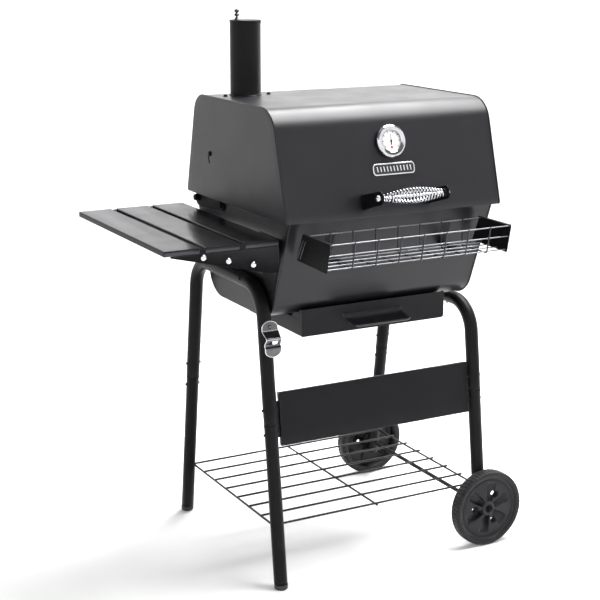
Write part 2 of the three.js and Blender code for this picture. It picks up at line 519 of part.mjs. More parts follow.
// ---- side shelf ---------------------------------------------------------------------------------
SLAT_X.forEach(([x0, x1], i) => {
  add(`shelf_slat_${i + 1}`, cut(box(x0, x1, ...SLAT_Y, SHELF_Z - SLAT_T, SHELF_Z),
    [box(x0 + SHEET, x1 - SHEET, SLAT_Y[0] + SHEET, SLAT_Y[1] - SHEET, SHELF_Z - SLAT_T - 5, SHELF_Z - SHEET)]), PAINT);
});
const underSlat = SHELF_Z - SLAT_T - GAP;
const bracketLine = [[-527, underSlat], [-308, 728.3], [-281, 742], [-278, underSlat]];
for (const [side, face0, s] of [['front', SLAT_Y[0] - 1, 1], ['rear', SLAT_Y[1] + 1, -1]]) {
  const y = (a, b) => (s > 0 ? [face0 + a, face0 + b] : [face0 - b, face0 - a]);
  add(`shelf_bracket_${side}`, union([
    alongY(bracketLine, ...y(0, 2)),
    box(-520, -279, ...y(0, 16), underSlat - 2, underSlat),
    box(-281, -279, ...y(0, 60), 748, underSlat),
    box(-281, BOX_LEFT - GAP, ...y(58, 60), 748, underSlat),
    box(BOX_LEFT - GAP - 2, BOX_LEFT - GAP, ...y(58, 92), 748, underSlat)]), PAINT);
}
[-454.6, -398, -341.2].forEach((x, i) => {
  const z = [776.2, 763.5, 750.2][i];
  add(`tool_peg_${i + 1}`, turned([[0, GAP], [3, GAP], [3, 9], [6, 10], [6, 12.5], [4.5, 14], [0, 14.6]],
    V(x, SLAT_Y[0] - 1, z), V(0, -1, 0), 14), CHROME);
});

// ---- basket -------------------------------------------------------------------------------------
const B = BASKET;
for (const [side, s] of [['left', -1], ['right', 1]]) {
  const x = s < 0 ? [-B.half, -B.half + SHEET] : [B.half - SHEET, B.half];
  add(`basket_end_${side}`, alongX([[B.backTop, B.top], [B.backBottom, B.bottom], [B.frontBottom, B.bottom - 4],
    [B.front, B.top]], ...x), PAINT);
}
const basketX = [-B.half + SHEET + GAP, B.half - SHEET - GAP];
const BW = 1.9;
const frontAt = (z) => B.front + ((B.top - z) / (B.top - B.bottom)) * (B.frontBottom - B.front) + 3;
const acrossAt = (y, z) => rod(V(basketX[0], y, z), V(basketX[1], y, z), BW, 5);
const basketParts = [acrossAt(frontAt(B.top - 3), B.top - 3), acrossAt(frontAt(B.top - 20), B.top - 20),
  acrossAt(B.backTop - 2, B.top - 3),
  ...[0, 1, 2, 3, 4].map((k) => acrossAt(B.frontBottom + 12 + k * 26, B.bottom + 2))];
for (let i = 0; i < 7; i++) {
  const x = -5 + (i - 3) * 55.4;
  basketParts.push(bar(rounded([[frontAt(B.top - 1.5), B.top - 1.5], [frontAt(B.bottom + 2), B.bottom + 2],
    [B.backBottom - 6, B.bottom + 2], [B.backTop - 2, B.top - 1.5]], [0, 8, 8, 0], 2)
    .map(([y, z]) => V(x, y, z)), BW * 0.95, 4));
}
add('basket_wires', union(basketParts), CHROME);

// brackets on the firebox front that the basket rests on
const [wallTop, wallLow] = [BOX_SECTION[3], BOX_SECTION[2]];
const wallY = (z) => wallLow[0] + ((z - wallLow[1]) / (wallTop[1] - wallLow[1])) * (wallTop[0] - wallLow[0]) - GAP;
for (const [side, x] of [['left', -150], ['right', 150]]) {
  const z = B.bottom - 2;
  add(`basket_bracket_${side}`, alongX([[wallY(800), 800], [wallY(z - 2), z - 2], [-300, z - 2], [-300, z - 0.4],
    [wallY(z) - 2, z - 0.4], [wallY(800) - 2, 800]], x - 12, x + 12), PAINT);
}

// ---- bottle opener on the front left leg --------------------------------------------------------
const OPENER_TOP = 607;
const openerAt = (down, out) => {
  const z = OPENER_TOP - down;
  return [-legY(z) - TUBE_R - out, z];
};
const openerLine = [openerAt(0, 0.6), openerAt(30, 0.6), openerAt(38, 15), openerAt(50, 20), openerAt(60, 13),
  openerAt(80, 11)];
const openerBody = alongX([...openerLine, ...offset(openerLine, 2).reverse()], LEFT_LEG_X - 19, LEFT_LEG_X + 19);
const window = rod(V(LEFT_LEG_X, -270, OPENER_TOP - 56), V(LEFT_LEG_X, -150, OPENER_TOP - 56), 9, 16);
add('bottle_opener', cut(openerBody, [window]), CHROME);

// ---- place the origin at the centre of the underside ---------------------------------------------
const bounds = new THREE.Box3().setFromObject(grill);
const shift = V(-(bounds.min.x + bounds.max.x) / 2, -(bounds.min.y + bounds.max.y) / 2, -bounds.min.z);
grill.children.forEach((mesh) => mesh.geometry.translate(shift.x, shift.y, shift.z));

export default grill;
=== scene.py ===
import math

import bmesh
import bpy
import numpy as np
from bpy.props import FloatProperty, FloatVectorProperty, IntProperty
from mathutils import Matrix, Vector


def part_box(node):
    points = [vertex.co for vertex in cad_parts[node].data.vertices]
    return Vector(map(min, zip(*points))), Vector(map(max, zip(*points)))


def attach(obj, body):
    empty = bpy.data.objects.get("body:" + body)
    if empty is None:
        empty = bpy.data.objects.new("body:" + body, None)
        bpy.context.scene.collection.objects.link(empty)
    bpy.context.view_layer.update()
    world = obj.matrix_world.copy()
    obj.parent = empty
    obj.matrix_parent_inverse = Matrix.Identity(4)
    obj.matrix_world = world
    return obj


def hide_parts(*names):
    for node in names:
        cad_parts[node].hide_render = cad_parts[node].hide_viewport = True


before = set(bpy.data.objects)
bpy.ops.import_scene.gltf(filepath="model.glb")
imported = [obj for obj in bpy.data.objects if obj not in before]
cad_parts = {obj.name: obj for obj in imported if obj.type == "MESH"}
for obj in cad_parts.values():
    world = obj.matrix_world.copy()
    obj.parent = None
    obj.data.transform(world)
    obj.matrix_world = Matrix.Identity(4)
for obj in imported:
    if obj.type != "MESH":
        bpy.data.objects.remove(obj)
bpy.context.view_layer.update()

bl_info = {
    "name": "Charcoal barrel grill",
    "version": (1, 0, 0),
    "blender": (4, 5, 0),
    "location": "View3D > Sidebar > Grill",
    "description": "Builds the visible pieces and finishes of a charcoal barrel grill on a wheeled stand",
    "category": "Mesh",
}

MM = 0.001

# The drawing's own zero: the middle of the lid's length, and a line 280.5 mm behind the lid's front edge.
_LID_LO, _LID_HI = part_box("lid_skin")
ZERO = np.array([(_LID_LO[0] + _LID_HI[0]) / 2, _LID_LO[1] + 0.2805, 0.0])

# Sections of the lid and the firebox in millimetres, as (y, z) corners and the bend radius at each.
LID_CORNERS = [(221, 830.3), (166.5, 1062), (-215.6, 1062), (-280.5, 830.3)]
LID_BENDS = [0, 48, 62, 0]
BOX_CORNERS = [(208.3, 835), (118, 599), (-176, 599), (-266.5, 835)]
BOX_BENDS = [0, 68, 64, 0]
LID_HALF = 274.0
BOX_LEFT, BOX_RIGHT = -257.7, 262.0
SHEET = 1.5
SEAM = 3.9          # from an end's outer face to the edge of the shell that laps over its flange

# Directions on the sloping front of the lid.
_SLOPE = np.array([-280.5 + 215.6, 830.3 - 1062.0])
_SLOPE = _SLOPE / np.linalg.norm(_SLOPE)
FRONT_TOP = np.array([-228.0, 1017.9])
FRONT_DOWN = np.array([0.0, _SLOPE[0], _SLOPE[1]])
FRONT_OUT = np.array([0.0, _SLOPE[1], -_SLOPE[0]])

# Stand.
TUBE_R = 15.9
LOWER_R = 15.2
LEG_SLANT, LEG_FOOT_Y = 0.1304, 256.9
LEFT_LEG_X, RIGHT_LEG_X = -274.0, 270.3
LEFT_BAR_Z, RIGHT_BAR_Z = 673.0, 575.0
BEND_R = 75.0
SPLICE_Z = 373.0


# ---- sizes and colours a user would change --------------------------------------------------------

def linear(colour):
    """sRGB hex text as linear light. A colour from the panel is linear already and only gains its alpha."""
    if isinstance(colour, str):
        srgb = [int(colour[i:i + 2], 16) / 255 for i in (1, 3, 5)]
        colour = [c / 12.92 if c <= 0.04045 else ((c + 0.055) / 1.055) ** 2.4 for c in srgb]
    return (*colour[:3], 1.0)


class GrillSizes(bpy.types.PropertyGroup):
    """Sizes of the small things that the frame does not fix."""
    basket_wire: FloatProperty(name="Basket wire", description="Radius of the basket's wire",
                               default=0.0019, unit="LENGTH")
    shelf_wire: FloatProperty(name="Shelf wire", description="Radius of the bottom shelf's wire",
                              default=0.0026, unit="LENGTH")
    coil_wire: FloatProperty(name="Grip wire", description="Radius of the handle's coiled wire",
                             default=0.0015, unit="LENGTH")
    coil_turns: IntProperty(name="Grip turns", description="Turns of wire in the handle's grip", default=19)
    tread_blocks: IntProperty(name="Tread blocks", description="Raised blocks round each wheel", default=60)
    round_sides: IntProperty(name="Sides of round bar", description="Facets round a wire or tube", default=14)


class GrillColours(bpy.types.PropertyGroup):
    """Base colours, in linear light."""
    paint: FloatVectorProperty(name="Powder coat", description="Colour of the painted steel", subtype="COLOR",
                               size=3, default=linear("#141216")[:3])
    slat: FloatVectorProperty(name="Shelf paint", description="Colour of the side shelf", subtype="COLOR",
                              size=3, default=linear("#131314")[:3])
    plastic: FloatVectorProperty(name="Wheel plastic", description="Colour of the wheels", subtype="COLOR",
                                 size=3, default=linear("#1c1b1d")[:3])
    dial: FloatVectorProperty(name="Dial", description="Colour of the thermometer's face", subtype="COLOR",
                              size=3, default=linear("#f7f4f2")[:3])


class GrillStage(bpy.types.PropertyGroup):
    """Light and camera."""
    lens: FloatProperty(name="Lens", description="Focal length of the camera", default=83.58, unit="CAMERA")
    overhead: FloatProperty(name="Overhead box", description="Brightness of the soft box above", default=0.45)
    high_right: FloatProperty(name="High box", description="Brightness of the soft box up on the right", default=22.0)
    rear: FloatProperty(name="Rear box", description="Brightness of the soft box behind", default=1.45)
    right: FloatProperty(name="Right box", description="Brightness of the soft box on the right", default=2.2)
    front: FloatProperty(name="Front box", description="Brightness of the soft box in front", default=0.6)
    sky: FloatProperty(name="Surround", description="Brightness of the white surround", default=0.22)


# ---- shapes as arrays ----------------------------------------------------------------------------

def grid_faces(rows, cols, wrap_rows=False, wrap_cols=False):
    """Quads of a rows x cols grid of points; each joins a point to its next neighbours along and across."""
    r = np.arange(rows if wrap_rows else rows - 1)
    c = np.arange(cols if wrap_cols else cols - 1)
    r, c = np.meshgrid(r, c, indexing="ij")
    r2, c2 = (r + 1) % rows, (c + 1) % cols
    return np.stack([r * cols + c, r * cols + c2, r2 * cols + c2, r2 * cols + c], -1).reshape(-1, 4)


def bent(corners, radii, steps=12):
    """A line with its corners rounded: each corner gives way to an arc of its radius that touches both sides."""
    pts = np.array(corners, float)
    out = [pts[:1]]
    for i in range(1, len(pts) - 1):
        here, r = pts[i], radii[i]
        back = (pts[i - 1] - here) / np.linalg.norm(pts[i - 1] - here)
        on = (pts[i + 1] - here) / np.linalg.norm(pts[i + 1] - here)
        half = math.acos(np.clip(back @ on, -1, 1)) / 2
        if r <= 0 or half > math.pi / 2 - 1e-4:
            out.append(here[None])
            continue
        mid = (back + on) / np.linalg.norm(back + on)
        centre = here + mid * r / math.sin(half)
        a = here + back * r / math.tan(half) - centre
        b = here + on * r / math.tan(half) - centre
        turn = math.pi - 2 * half
        k = np.linspace(0, 1, steps + 1)[:, None]
        arc = (a * np.sin((1 - k) * turn) + b * np.sin(k * turn)) / math.sin(turn)
        out.append(centre + arc)
    out.append(pts[-1:])
    return np.concatenate(out)


def along(line, step):
    """The same line with points no further apart than step, by cutting each long side into equal parts."""
    line = np.asarray(line, float)
    counts = np.maximum(1, np.ceil(np.linalg.norm(np.diff(line, axis=0), axis=1) / step)).astype(int)
    parts = [line[i] + (line[i + 1] - line[i]) * np.linspace(0, 1, n, endpoint=False)[:, None]
             for i, n in enumerate(counts)]
    return np.concatenate(parts + [line[-1:]])


def sideways(line, d, closed=False):
    """A flat line moved sideways by d to the right of its direction, along the mean of its neighbours' normals."""
    line = np.asarray(line, float)
    if closed:
        t_in = line - np.roll(line, 1, 0)
        t_out = np.roll(line, -1, 0) - line
    else:
        seg = np.diff(line, axis=0)
        t_in = np.vstack([seg[:1], seg])
        t_out = np.vstack([seg, seg[-1:]])
    n_in = np.stack([t_in[:, 1], -t_in[:, 0]], 1) / np.linalg.norm(t_in, axis=1)[:, None]
    n_out = np.stack([t_out[:, 1], -t_out[:, 0]], 1) / np.linalg.norm(t_out, axis=1)[:, None]
    n = n_in + n_out
    n /= np.linalg.norm(n, axis=1)[:, None]
    return line + n * (d / np.clip((n * n_in).sum(1), 0.3, 1))[:, None]


def bar(path, r, sides=14, up=(0, 0, 1), closed=False, dome=True):
    """A round bar: circles of radius r square to the path, with domed ends that close on the path's end points."""
    p = np.asarray(path, float)
    if closed:
        t = np.roll(p, -1, 0) - np.roll(p, 1, 0)
    else:
        t = np.gradient(p, axis=0)
    t /= np.linalg.norm(t, axis=1)[:, None]
    rr = np.broadcast_to(np.asarray(r, float), (len(p),)).copy()
    if not closed:
        lift = np.array([0.0, 0.5, 0.87]) if dome else np.array([0.0])
        grow = np.array([0.0, 0.62, 0.9]) if dome else np.array([0.0])
        head = p[0] - t[0] * 0.5 * rr[0] * (1 - lift)[:, None] if dome else p[:1]
        tail = p[-1] + t[-1] * 0.5 * rr[-1] * (1 - lift)[::-1, None] if dome else p[-1:]
        p = np.vstack([head, p, tail])
        t = np.vstack([np.repeat(t[:1], len(lift), 0), t, np.repeat(t[-1:], len(lift), 0)])
        rr = np.concatenate([grow * rr[0], rr, grow[::-1] * rr[-1]])
    side = np.cross(t, np.asarray(up, float))
    side /= np.linalg.norm(side, axis=1)[:, None]
    top = np.cross(side, t)
    a = np.linspace(0, 2 * math.pi, sides, endpoint=False)
    ring = side[:, None] * np.cos(a)[None, :, None] + top[:, None] * np.sin(a)[None, :, None]
    v = p[:, None] + ring * rr[:, None, None]
    return v.reshape(-1, 3), grid_faces(len(p), sides, wrap_rows=closed, wrap_cols=True)


def turned(profile, at, axis, steps=48):
    """A turned piece: the profile (radius, height) swung round the axis; radius 0 closes it on the axis."""
    prof = np.asarray(profile, float)
    axis = np.asarray(axis, float) / np.linalg.norm(axis)
    ref = np.array([0.0, 0.0, 1.0]) if abs(axis[2]) < 0.9 else np.array([1.0, 0.0, 0.0])
    u = np.cross(ref, axis)
    u /= np.linalg.norm(u)
    w = np.cross(axis, u)
    a = np.linspace(0, 2 * math.pi, steps, endpoint=False)
    ring = u[None] * np.cos(a)[:, None] + w[None] * np.sin(a)[:, None]
    v = np.asarray(at, float) + prof[:, None, 1:] * axis + ring[None] * prof[:, None, :1]
    return v.reshape(-1, 3), grid_faces(len(prof), steps, wrap_cols=True)


def prism(outline, axis, lo, hi):
    """A flat closed outline carried straight along one axis from lo to hi, with a face on each end."""
    o = np.asarray(outline, float)
    n = len(o)
    order = {"x": (1, 2, 0), "y": (0, 2, 1), "z": (0, 1, 2)}[axis]
    v = np.zeros((2, n, 3))
    v[:, :, order[0]] = o[:, 0]
    v[:, :, order[1]] = o[:, 1]
    v[0, :, order[2]] = lo
    v[1, :, order[2]] = hi
    faces = [list(f) for f in grid_faces(2, n, wrap_cols=True)]
    return v.reshape(-1, 3), faces + [list(range(n - 1, -1, -1)), list(range(n, 2 * n))]


def folded(line, axis, lo, hi, thick=SHEET):
    """Sheet steel folded along a line: the line and its copy moved sideways make an outline, carried straight."""
    line = np.asarray(line, float)
    return prism(np.vstack([line, sideways(line, thick)[::-1]]), axis, lo, hi)


def block(x, y, z):
    """A straight-sided piece between two corners."""
    return prism([(x[0], y[0]), (x[1], y[0]), (x[1], y[1]), (x[0], y[1])], "z", z[0], z[1])


def rounded_rect(w, h, r, steps=6):
    """A closed rectangle w by h about its middle, each corner a quarter circle of radius r."""
    a = np.linspace(0, math.pi / 2, steps + 1)
    corners = [(w / 2 - r, h / 2 - r, 0), (-w / 2 + r, h / 2 - r, 1), (-w / 2 + r, -h / 2 + r, 2), (w / 2 - r, -h / 2 + r, 3)]
    return np.concatenate([np.stack([cx + r * np.cos(a + k * math.pi / 2), cy + r * np.sin(a + k * math.pi / 2)], 1)
                           for cx, cy, k in corners])


def on_front(x, down, out):
    """Points on the lid's sloping front: across, down the slope and out of it."""
    x, down, out = np.broadcast_arrays(np.asarray(x, float), np.asarray(down, float), np.asarray(out, float))
    base = np.array([0.0, FRONT_TOP[0], FRONT_TOP[1]])
    return base + x[..., None] * np.array([1.0, 0, 0]) + down[..., None] * FRONT_DOWN + out[..., None] * FRONT_OUT


def front_plate(outline, at_x, at_down, lo, hi):
    """An outline (across, down) on the lid's sloping front, carried out of it from lo to hi."""
    o = np.asarray(outline, float)
    n = len(o)
    v = np.concatenate([on_front(at_x + o[:, 0], at_down + o[:, 1], h) for h in (lo, hi)])
    faces = [list(f) for f in grid_faces(2, n, wrap_cols=True)]
    return v, faces + [list(range(n - 1, -1, -1)), list(range(n, 2 * n))]


def bolt_head(at, axis, r=5.0, h=3.2):
    """A flanged hexagon head: a turned washer with a six-sided turned head on it."""
    at, axis = np.asarray(at, float), np.asarray(axis, float) / np.linalg.norm(axis)
    washer = turned([(0, 0), (r, 0), (r * 1.02, 0.35), (r * 0.9, 0.9), (0, 1.0)], at, axis, 28)
    hexagon = turned([(0, 0.6), (r * 0.74, 0.6), (r * 0.74, h * 0.8), (r * 0.62, h), (0, h)], at, axis, 6)
    return [washer, hexagon]


def dome_head(at, axis, r=5.0, h=2.4, steps=28):
    """A low domed rivet or button head: a quarter ellipse turned round the axis."""
    a = np.linspace(0, math.pi / 2, 7)
    prof = np.stack([r * np.cos(a), 0.4 + (h - 0.4) * np.sin(a)], 1)
    return turned(np.vstack([[(0, 0), (r, 0)], prof[:-1], [(0, h)]]), at, axis, steps)


# ---- meshes ---------------------------------------------------------------------------------------

def piece(name, parts, body, material, replaces=(), bevel=0.0, sharp=35.0, segments=2):
    """Puts shapes into one mesh at the origin in metres, closes its seams, turns its faces outwards, and says
    which body it rides on, which CAD nodes it stands for and which finish it has."""
    verts, faces, base = [], [], 0
    for v, f in parts:
        verts.append(np.asarray(v, float))
        faces += [[int(i) + base for i in face] for face in f]
        base += len(v)
    v = np.concatenate(verts) * MM + ZERO
    mesh = bpy.data.meshes.new(name)
    mesh.from_pydata(v.tolist(), [], faces)
    bm = bmesh.new()
    bm.from_mesh(mesh)
    bmesh.ops.remove_doubles(bm, verts=bm.verts, dist=2e-6)
    bmesh.ops.dissolve_degenerate(bm, edges=bm.edges, dist=1e-7)
    bmesh.ops.recalc_face_normals(bm, faces=bm.faces)
    bm.to_mesh(mesh)
    bm.free()
    mesh.shade_smooth()
    mesh.set_sharp_from_angle(angle=math.radians(sharp))
    mesh.materials.append(material)
    obj = bpy.data.objects.new(name, mesh)
    bpy.context.scene.collection.objects.link(obj)
    if bevel:
        mod = obj.modifiers.new("edge", "BEVEL")
        mod.width = bevel * MM
        mod.segments = segments
        mod.limit_method = "ANGLE"
        mod.angle_limit = math.radians(30)
        mod.harden_normals = True
    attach(obj, body)
    if replaces:
        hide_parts(*replaces)
    return obj


def with_holes(parts, holes):
    """Shapes with round holes cut through them: the mesh less each hole's cylinder, worked out once and kept."""
    def solid(shape, name):
        mesh = bpy.data.meshes.new(name)
        mesh.from_pydata(np.asarray(shape[0]).tolist(), [], [[int(i) for i in f] for f in shape[1]])
        bm = bmesh.new()
        bm.from_mesh(mesh)
        bmesh.ops.remove_doubles(bm, verts=bm.verts, dist=1e-3)
        bmesh.ops.recalc_face_normals(bm, faces=bm.faces)
        bm.to_mesh(mesh)
        bm.free()
        obj = bpy.data.objects.new(name, mesh)
        bpy.context.scene.collection.objects.link(obj)
        return obj
    out = []
    for shape in parts:
        target = solid(shape, "blank")
        cutters = [solid(h, "drill") for h in holes]
        for c in cutters:
            mod = target.modifiers.new("hole", "BOOLEAN")
            mod.operation = "DIFFERENCE"
            mod.solver = "EXACT"
            mod.object = c
        bpy.context.view_layer.update()
        done = target.evaluated_get(bpy.context.evaluated_depsgraph_get()).to_mesh()
        v = np.empty(len(done.vertices) * 3)
        done.vertices.foreach_get("co", v)
        faces = [list(p.vertices) for p in done.polygons]
        out.append((v.reshape(-1, 3), faces))
        for obj in [target, *cutters]:
            mesh = obj.data
            bpy.data.objects.remove(obj)
            bpy.data.meshes.remove(mesh)
    return out


def drill(at, axis, r, reach, steps=32):
    """A plain cylinder that reaches the same way to both sides of a point, to cut a hole with."""
    axis = np.asarray(axis, float) / np.linalg.norm(axis)
    return turned([(0, -reach), (r, -reach), (r, reach), (0, reach)], at, axis, steps)


# ---- materials ------------------------------------------------------------------------------------

def node(tree, kind, settings=None, links=None, values=None):
    """Adds one node with its settings, socket values and incoming links."""
    n = tree.nodes.new(kind)
    for key, value in (settings or {}).items():
        setattr(n, key, value)
    for key, value in (values or {}).items():
        n.inputs[key].default_value = value
    for key, source in (links or {}).items():
        tree.links.new(source, n.inputs[key])
    return n


def new_material(name):
    """An empty node material with its output."""
    m = bpy.data.materials.new(name)
    m.use_nodes = True
    m.node_tree.nodes.clear()
    return m, m.node_tree, m.node_tree.nodes.new("ShaderNodeOutputMaterial")


def finish(name, colour, colour2, rough, rough2, metallic=0.0, grain_mm=0.8, bump=0.1, cloud_mm=60.0,
           stretch=(1, 1, 1), specular=0.5, edge=None, bump_mm=0.04):
    """A surface with slow clouds of tone and gloss, a fine grain in its bump, and convex edges lightened as a painted
    highlight.
    """
    m, t, out = new_material(name)
    tc = node(t, "ShaderNodeTexCoord")
    place = node(t, "ShaderNodeMapping", links={"Vector": tc.outputs["Object"]}, values={"Scale": stretch})
    cloud = node(t, "ShaderNodeTexNoise", values={"Scale": 1000.0 / cloud_mm, "Detail": 3.0, "Roughness": 0.55},
                 links={"Vector": place.outputs[0]})
    grain = node(t, "ShaderNodeTexNoise", values={"Scale": 1000.0 / grain_mm, "Detail": 2.0, "Roughness": 0.5},
                 links={"Vector": place.outputs[0]})
    tone = node(t, "ShaderNodeMixRGB", values={"Color1": linear(colour), "Color2": linear(colour2)},
                links={"Fac": cloud.outputs["Fac"]})
    colour_out = tone.outputs[0]
    # painted highlight: where the surface is convex (Pointiness) its colour is blended towards the lighter edge colour,
    # standing in for light caught by the edges
    if edge:
        geo = node(t, "ShaderNodeNewGeometry")
        ridge = node(t, "ShaderNodeMapRange", links={"Value": geo.outputs["Pointiness"]},
                     values={"From Min": 0.54, "From Max": 0.62, "To Min": 0.0, "To Max": 0.55})
        painted_edge_highlight = node(t, "ShaderNodeMixRGB", values={"Color2": linear(edge)},
                    links={"Fac": ridge.outputs[0], "Color1": colour_out})
        colour_out = painted_edge_highlight.outputs[0]
    gloss_mix = node(t, "ShaderNodeMapRange", links={"Value": cloud.outputs["Fac"]},
                     values={"From Min": 0.3, "From Max": 0.7, "To Min": rough, "To Max": rough2})
    peel = node(t, "ShaderNodeBump", values={"Strength": bump, "Distance": bump_mm * MM},
                links={"Height": grain.outputs["Fac"]})
    shader = node(t, "ShaderNodeBsdfPrincipled",
                  values={"Metallic": metallic},
                  links={"Base Color": colour_out, "Roughness": gloss_mix.outputs[0], "Normal": peel.outputs[0]})
    if not metallic:
        shader.inputs["Specular IOR Level"].default_value = specular
    t.links.new(shader.outputs[0], out.inputs[0])
    return m


MATERIALS = {}
# How much lighter the clouds in a coat are than its base colour.
CLOUD_PAINT, CLOUD_SLAT, CLOUD_WHEEL = 1.27, 1.22, 1.20


def make_materials():
    """Every finish on the grill, once."""
    c = bpy.context.scene.grill_colours
    paint, slat, wheel = tuple(c.paint), tuple(c.slat), tuple(c.plastic)

    # Satin powder coat: black polyester powder sprayed dry and baked. It flows into a faint orange peel about
    # 0.8 mm across, so reflections are soft and their edges slightly broken.
    MATERIALS["paint"] = finish("satin_powder_coat", paint, tuple(v * CLOUD_PAINT for v in paint), 0.34, 0.41,
                                grain_mm=0.9, bump=0.35, cloud_mm=90, edge="#4a4a4d", specular=0.27)
    # Drawer and front panel: a second batch of powder, deeper black and a little flatter.
    MATERIALS["panel"] = finish("deep_black_powder_coat", "#0f0e11", "#141316", 0.38, 0.46, grain_mm=0.9, bump=0.35,
                                cloud_mm=80, edge="#39383a", specular=0.12)
    # The side shelf gets a smoother, glossier batch of the same powder.
    MATERIALS["slat"] = finish("semigloss_powder_coat", slat, tuple(v * CLOUD_SLAT for v in slat), 0.19, 0.26,
                               grain_mm=1.1, bump=0.22, cloud_mm=70, edge="#5a5b60", specular=0.06)
    # Tubes: the same coat over welded steel tube, a little duller and darker.
    MATERIALS["tube"] = finish("tube_powder_coat", "#0c0c0d", "#121213", 0.34, 0.42, grain_mm=0.8, bump=0.4,
                               cloud_mm=40, edge="#2b2b2d", specular=0.1)
    # Brackets and basket ends: thin matt black dip over pressed steel.
    MATERIALS["bracket"] = finish("matt_black_dip", "#08080a", "#0d0d0f", 0.42, 0.55, grain_mm=0.6, bump=0.4,
                                  cloud_mm=25, edge="#39393a", specular=0.05)
    # Open slots and bolt holes: unlit inside of the sheet, nearly black and dead matt.
    MATERIALS["void"] = finish("shaded_hole", "#040404", "#080808", 0.85, 0.95, grain_mm=1.0, bump=0.1, cloud_mm=10,
                               specular=0.05)
    # Wires of the bottom shelf: drawn steel dipped in black coating, thick and soft at the welds.
    MATERIALS["coated_wire"] = finish("dipped_wire_coating", "#0e0e0f", "#161617", 0.32, 0.42, grain_mm=0.7,
                                      bump=0.2, cloud_mm=20, specular=0.3)
    # Chrome: bright nickel and chromium plate on drawn wire and turned steel. Nearly a mirror, faint cool tone.
    MATERIALS["chrome"] = finish("chrome_plate", "#c6c7ca", "#b4b5b9", 0.07, 0.13, metallic=1.0, grain_mm=2.0,
                                 bump=0.05, cloud_mm=12)
    # Plated wire: duller barrel plating, seen as bright lines with grey ends.
    MATERIALS["wire"] = finish("barrel_plated_wire", "#77787b", "#56575a", 0.26, 0.38, metallic=1.0, grain_mm=0.6,
                               bump=0.15, cloud_mm=14)
    # The basket's cross wires: the same plated wire made darker as painted shade, for the dark look of the upright
    # hoops.
    MATERIALS["dark_wire"] = finish("plated_wire_painted_shade", "#4b4b4e", "#2d2d2f", 0.28, 0.4, metallic=1.0, grain_mm=0.6,
                                    bump=0.15, cloud_mm=14)
    # Cap knob: turned steel, black nickel plated, smooth enough for small highlights.
    MATERIALS["knob"] = finish("black_nickel", "#3c3c3f", "#4a4a4d", 0.18, 0.28, metallic=1.0, grain_mm=1.0,
                               bump=0.1, cloud_mm=6)
    # Bright steel strip: rolled and lightly tumbled.
    MATERIALS["bright"] = finish("tumbled_bright_steel", "#d5d6d8", "#bfc0c3", 0.14, 0.24, metallic=1.0,
                                 grain_mm=0.5, bump=0.15, cloud_mm=8, stretch=(1, 1, 0.2))
    # The opener's faces: the same strip, its chrome darkened as painted shade for the dark reflections on the faces.
    MATERIALS["smoked"] = finish("smoked_chrome_strip", "#69686a", "#4c4b4e", 0.12, 0.22, metallic=1.0, grain_mm=0.6,
                                 bump=0.15, cloud_mm=9)
    # Grates: matt enamel over steel rod, pitted at about half a millimetre.
    MATERIALS["grate"] = finish("matt_grate_enamel", "#1f1e1d", "#2b2a28", 0.5, 0.66, grain_mm=0.6, bump=0.6,
                                cloud_mm=12)
    # Wheels: injection-moulded polypropylene, with a fine spark-eroded texture and a soft sheen.
    MATERIALS["wheel"] = finish("moulded_polypropylene", wheel, tuple(v * CLOUD_WHEEL for v in wheel), 0.40, 0.50,
                                grain_mm=0.5, bump=0.35, cloud_mm=30, edge="#474749", specular=0.15)
    # Foot caps: the same plastic, unpolished.
    MATERIALS["foot"] = finish("moulded_foot_plastic", "#181819", "#1f1f20", 0.5, 0.6, grain_mm=0.5, bump=0.3,
                               cloud_mm=15)
    MATERIALS["badge_rim"] = finish("polished_badge_metal", "#cfd0d2", "#bfc0c3", 0.14, 0.22, metallic=1.0,
                                    grain_mm=0.8, bump=0.05, cloud_mm=10)
    MATERIALS["badge_field"] = finish("badge_enamel", "#141415", "#1b1b1d", 0.2, 0.28, grain_mm=1.0, bump=0.1,
                                      cloud_mm=8)
    MATERIALS["needle"] = finish("needle_paint", "#1b1b1c", "#242425", 0.4, 0.5, grain_mm=0.5, bump=0.1, cloud_mm=5)
    MATERIALS["dial"] = dial_material(tuple(c.dial))
    MATERIALS["lens"] = lens_material()


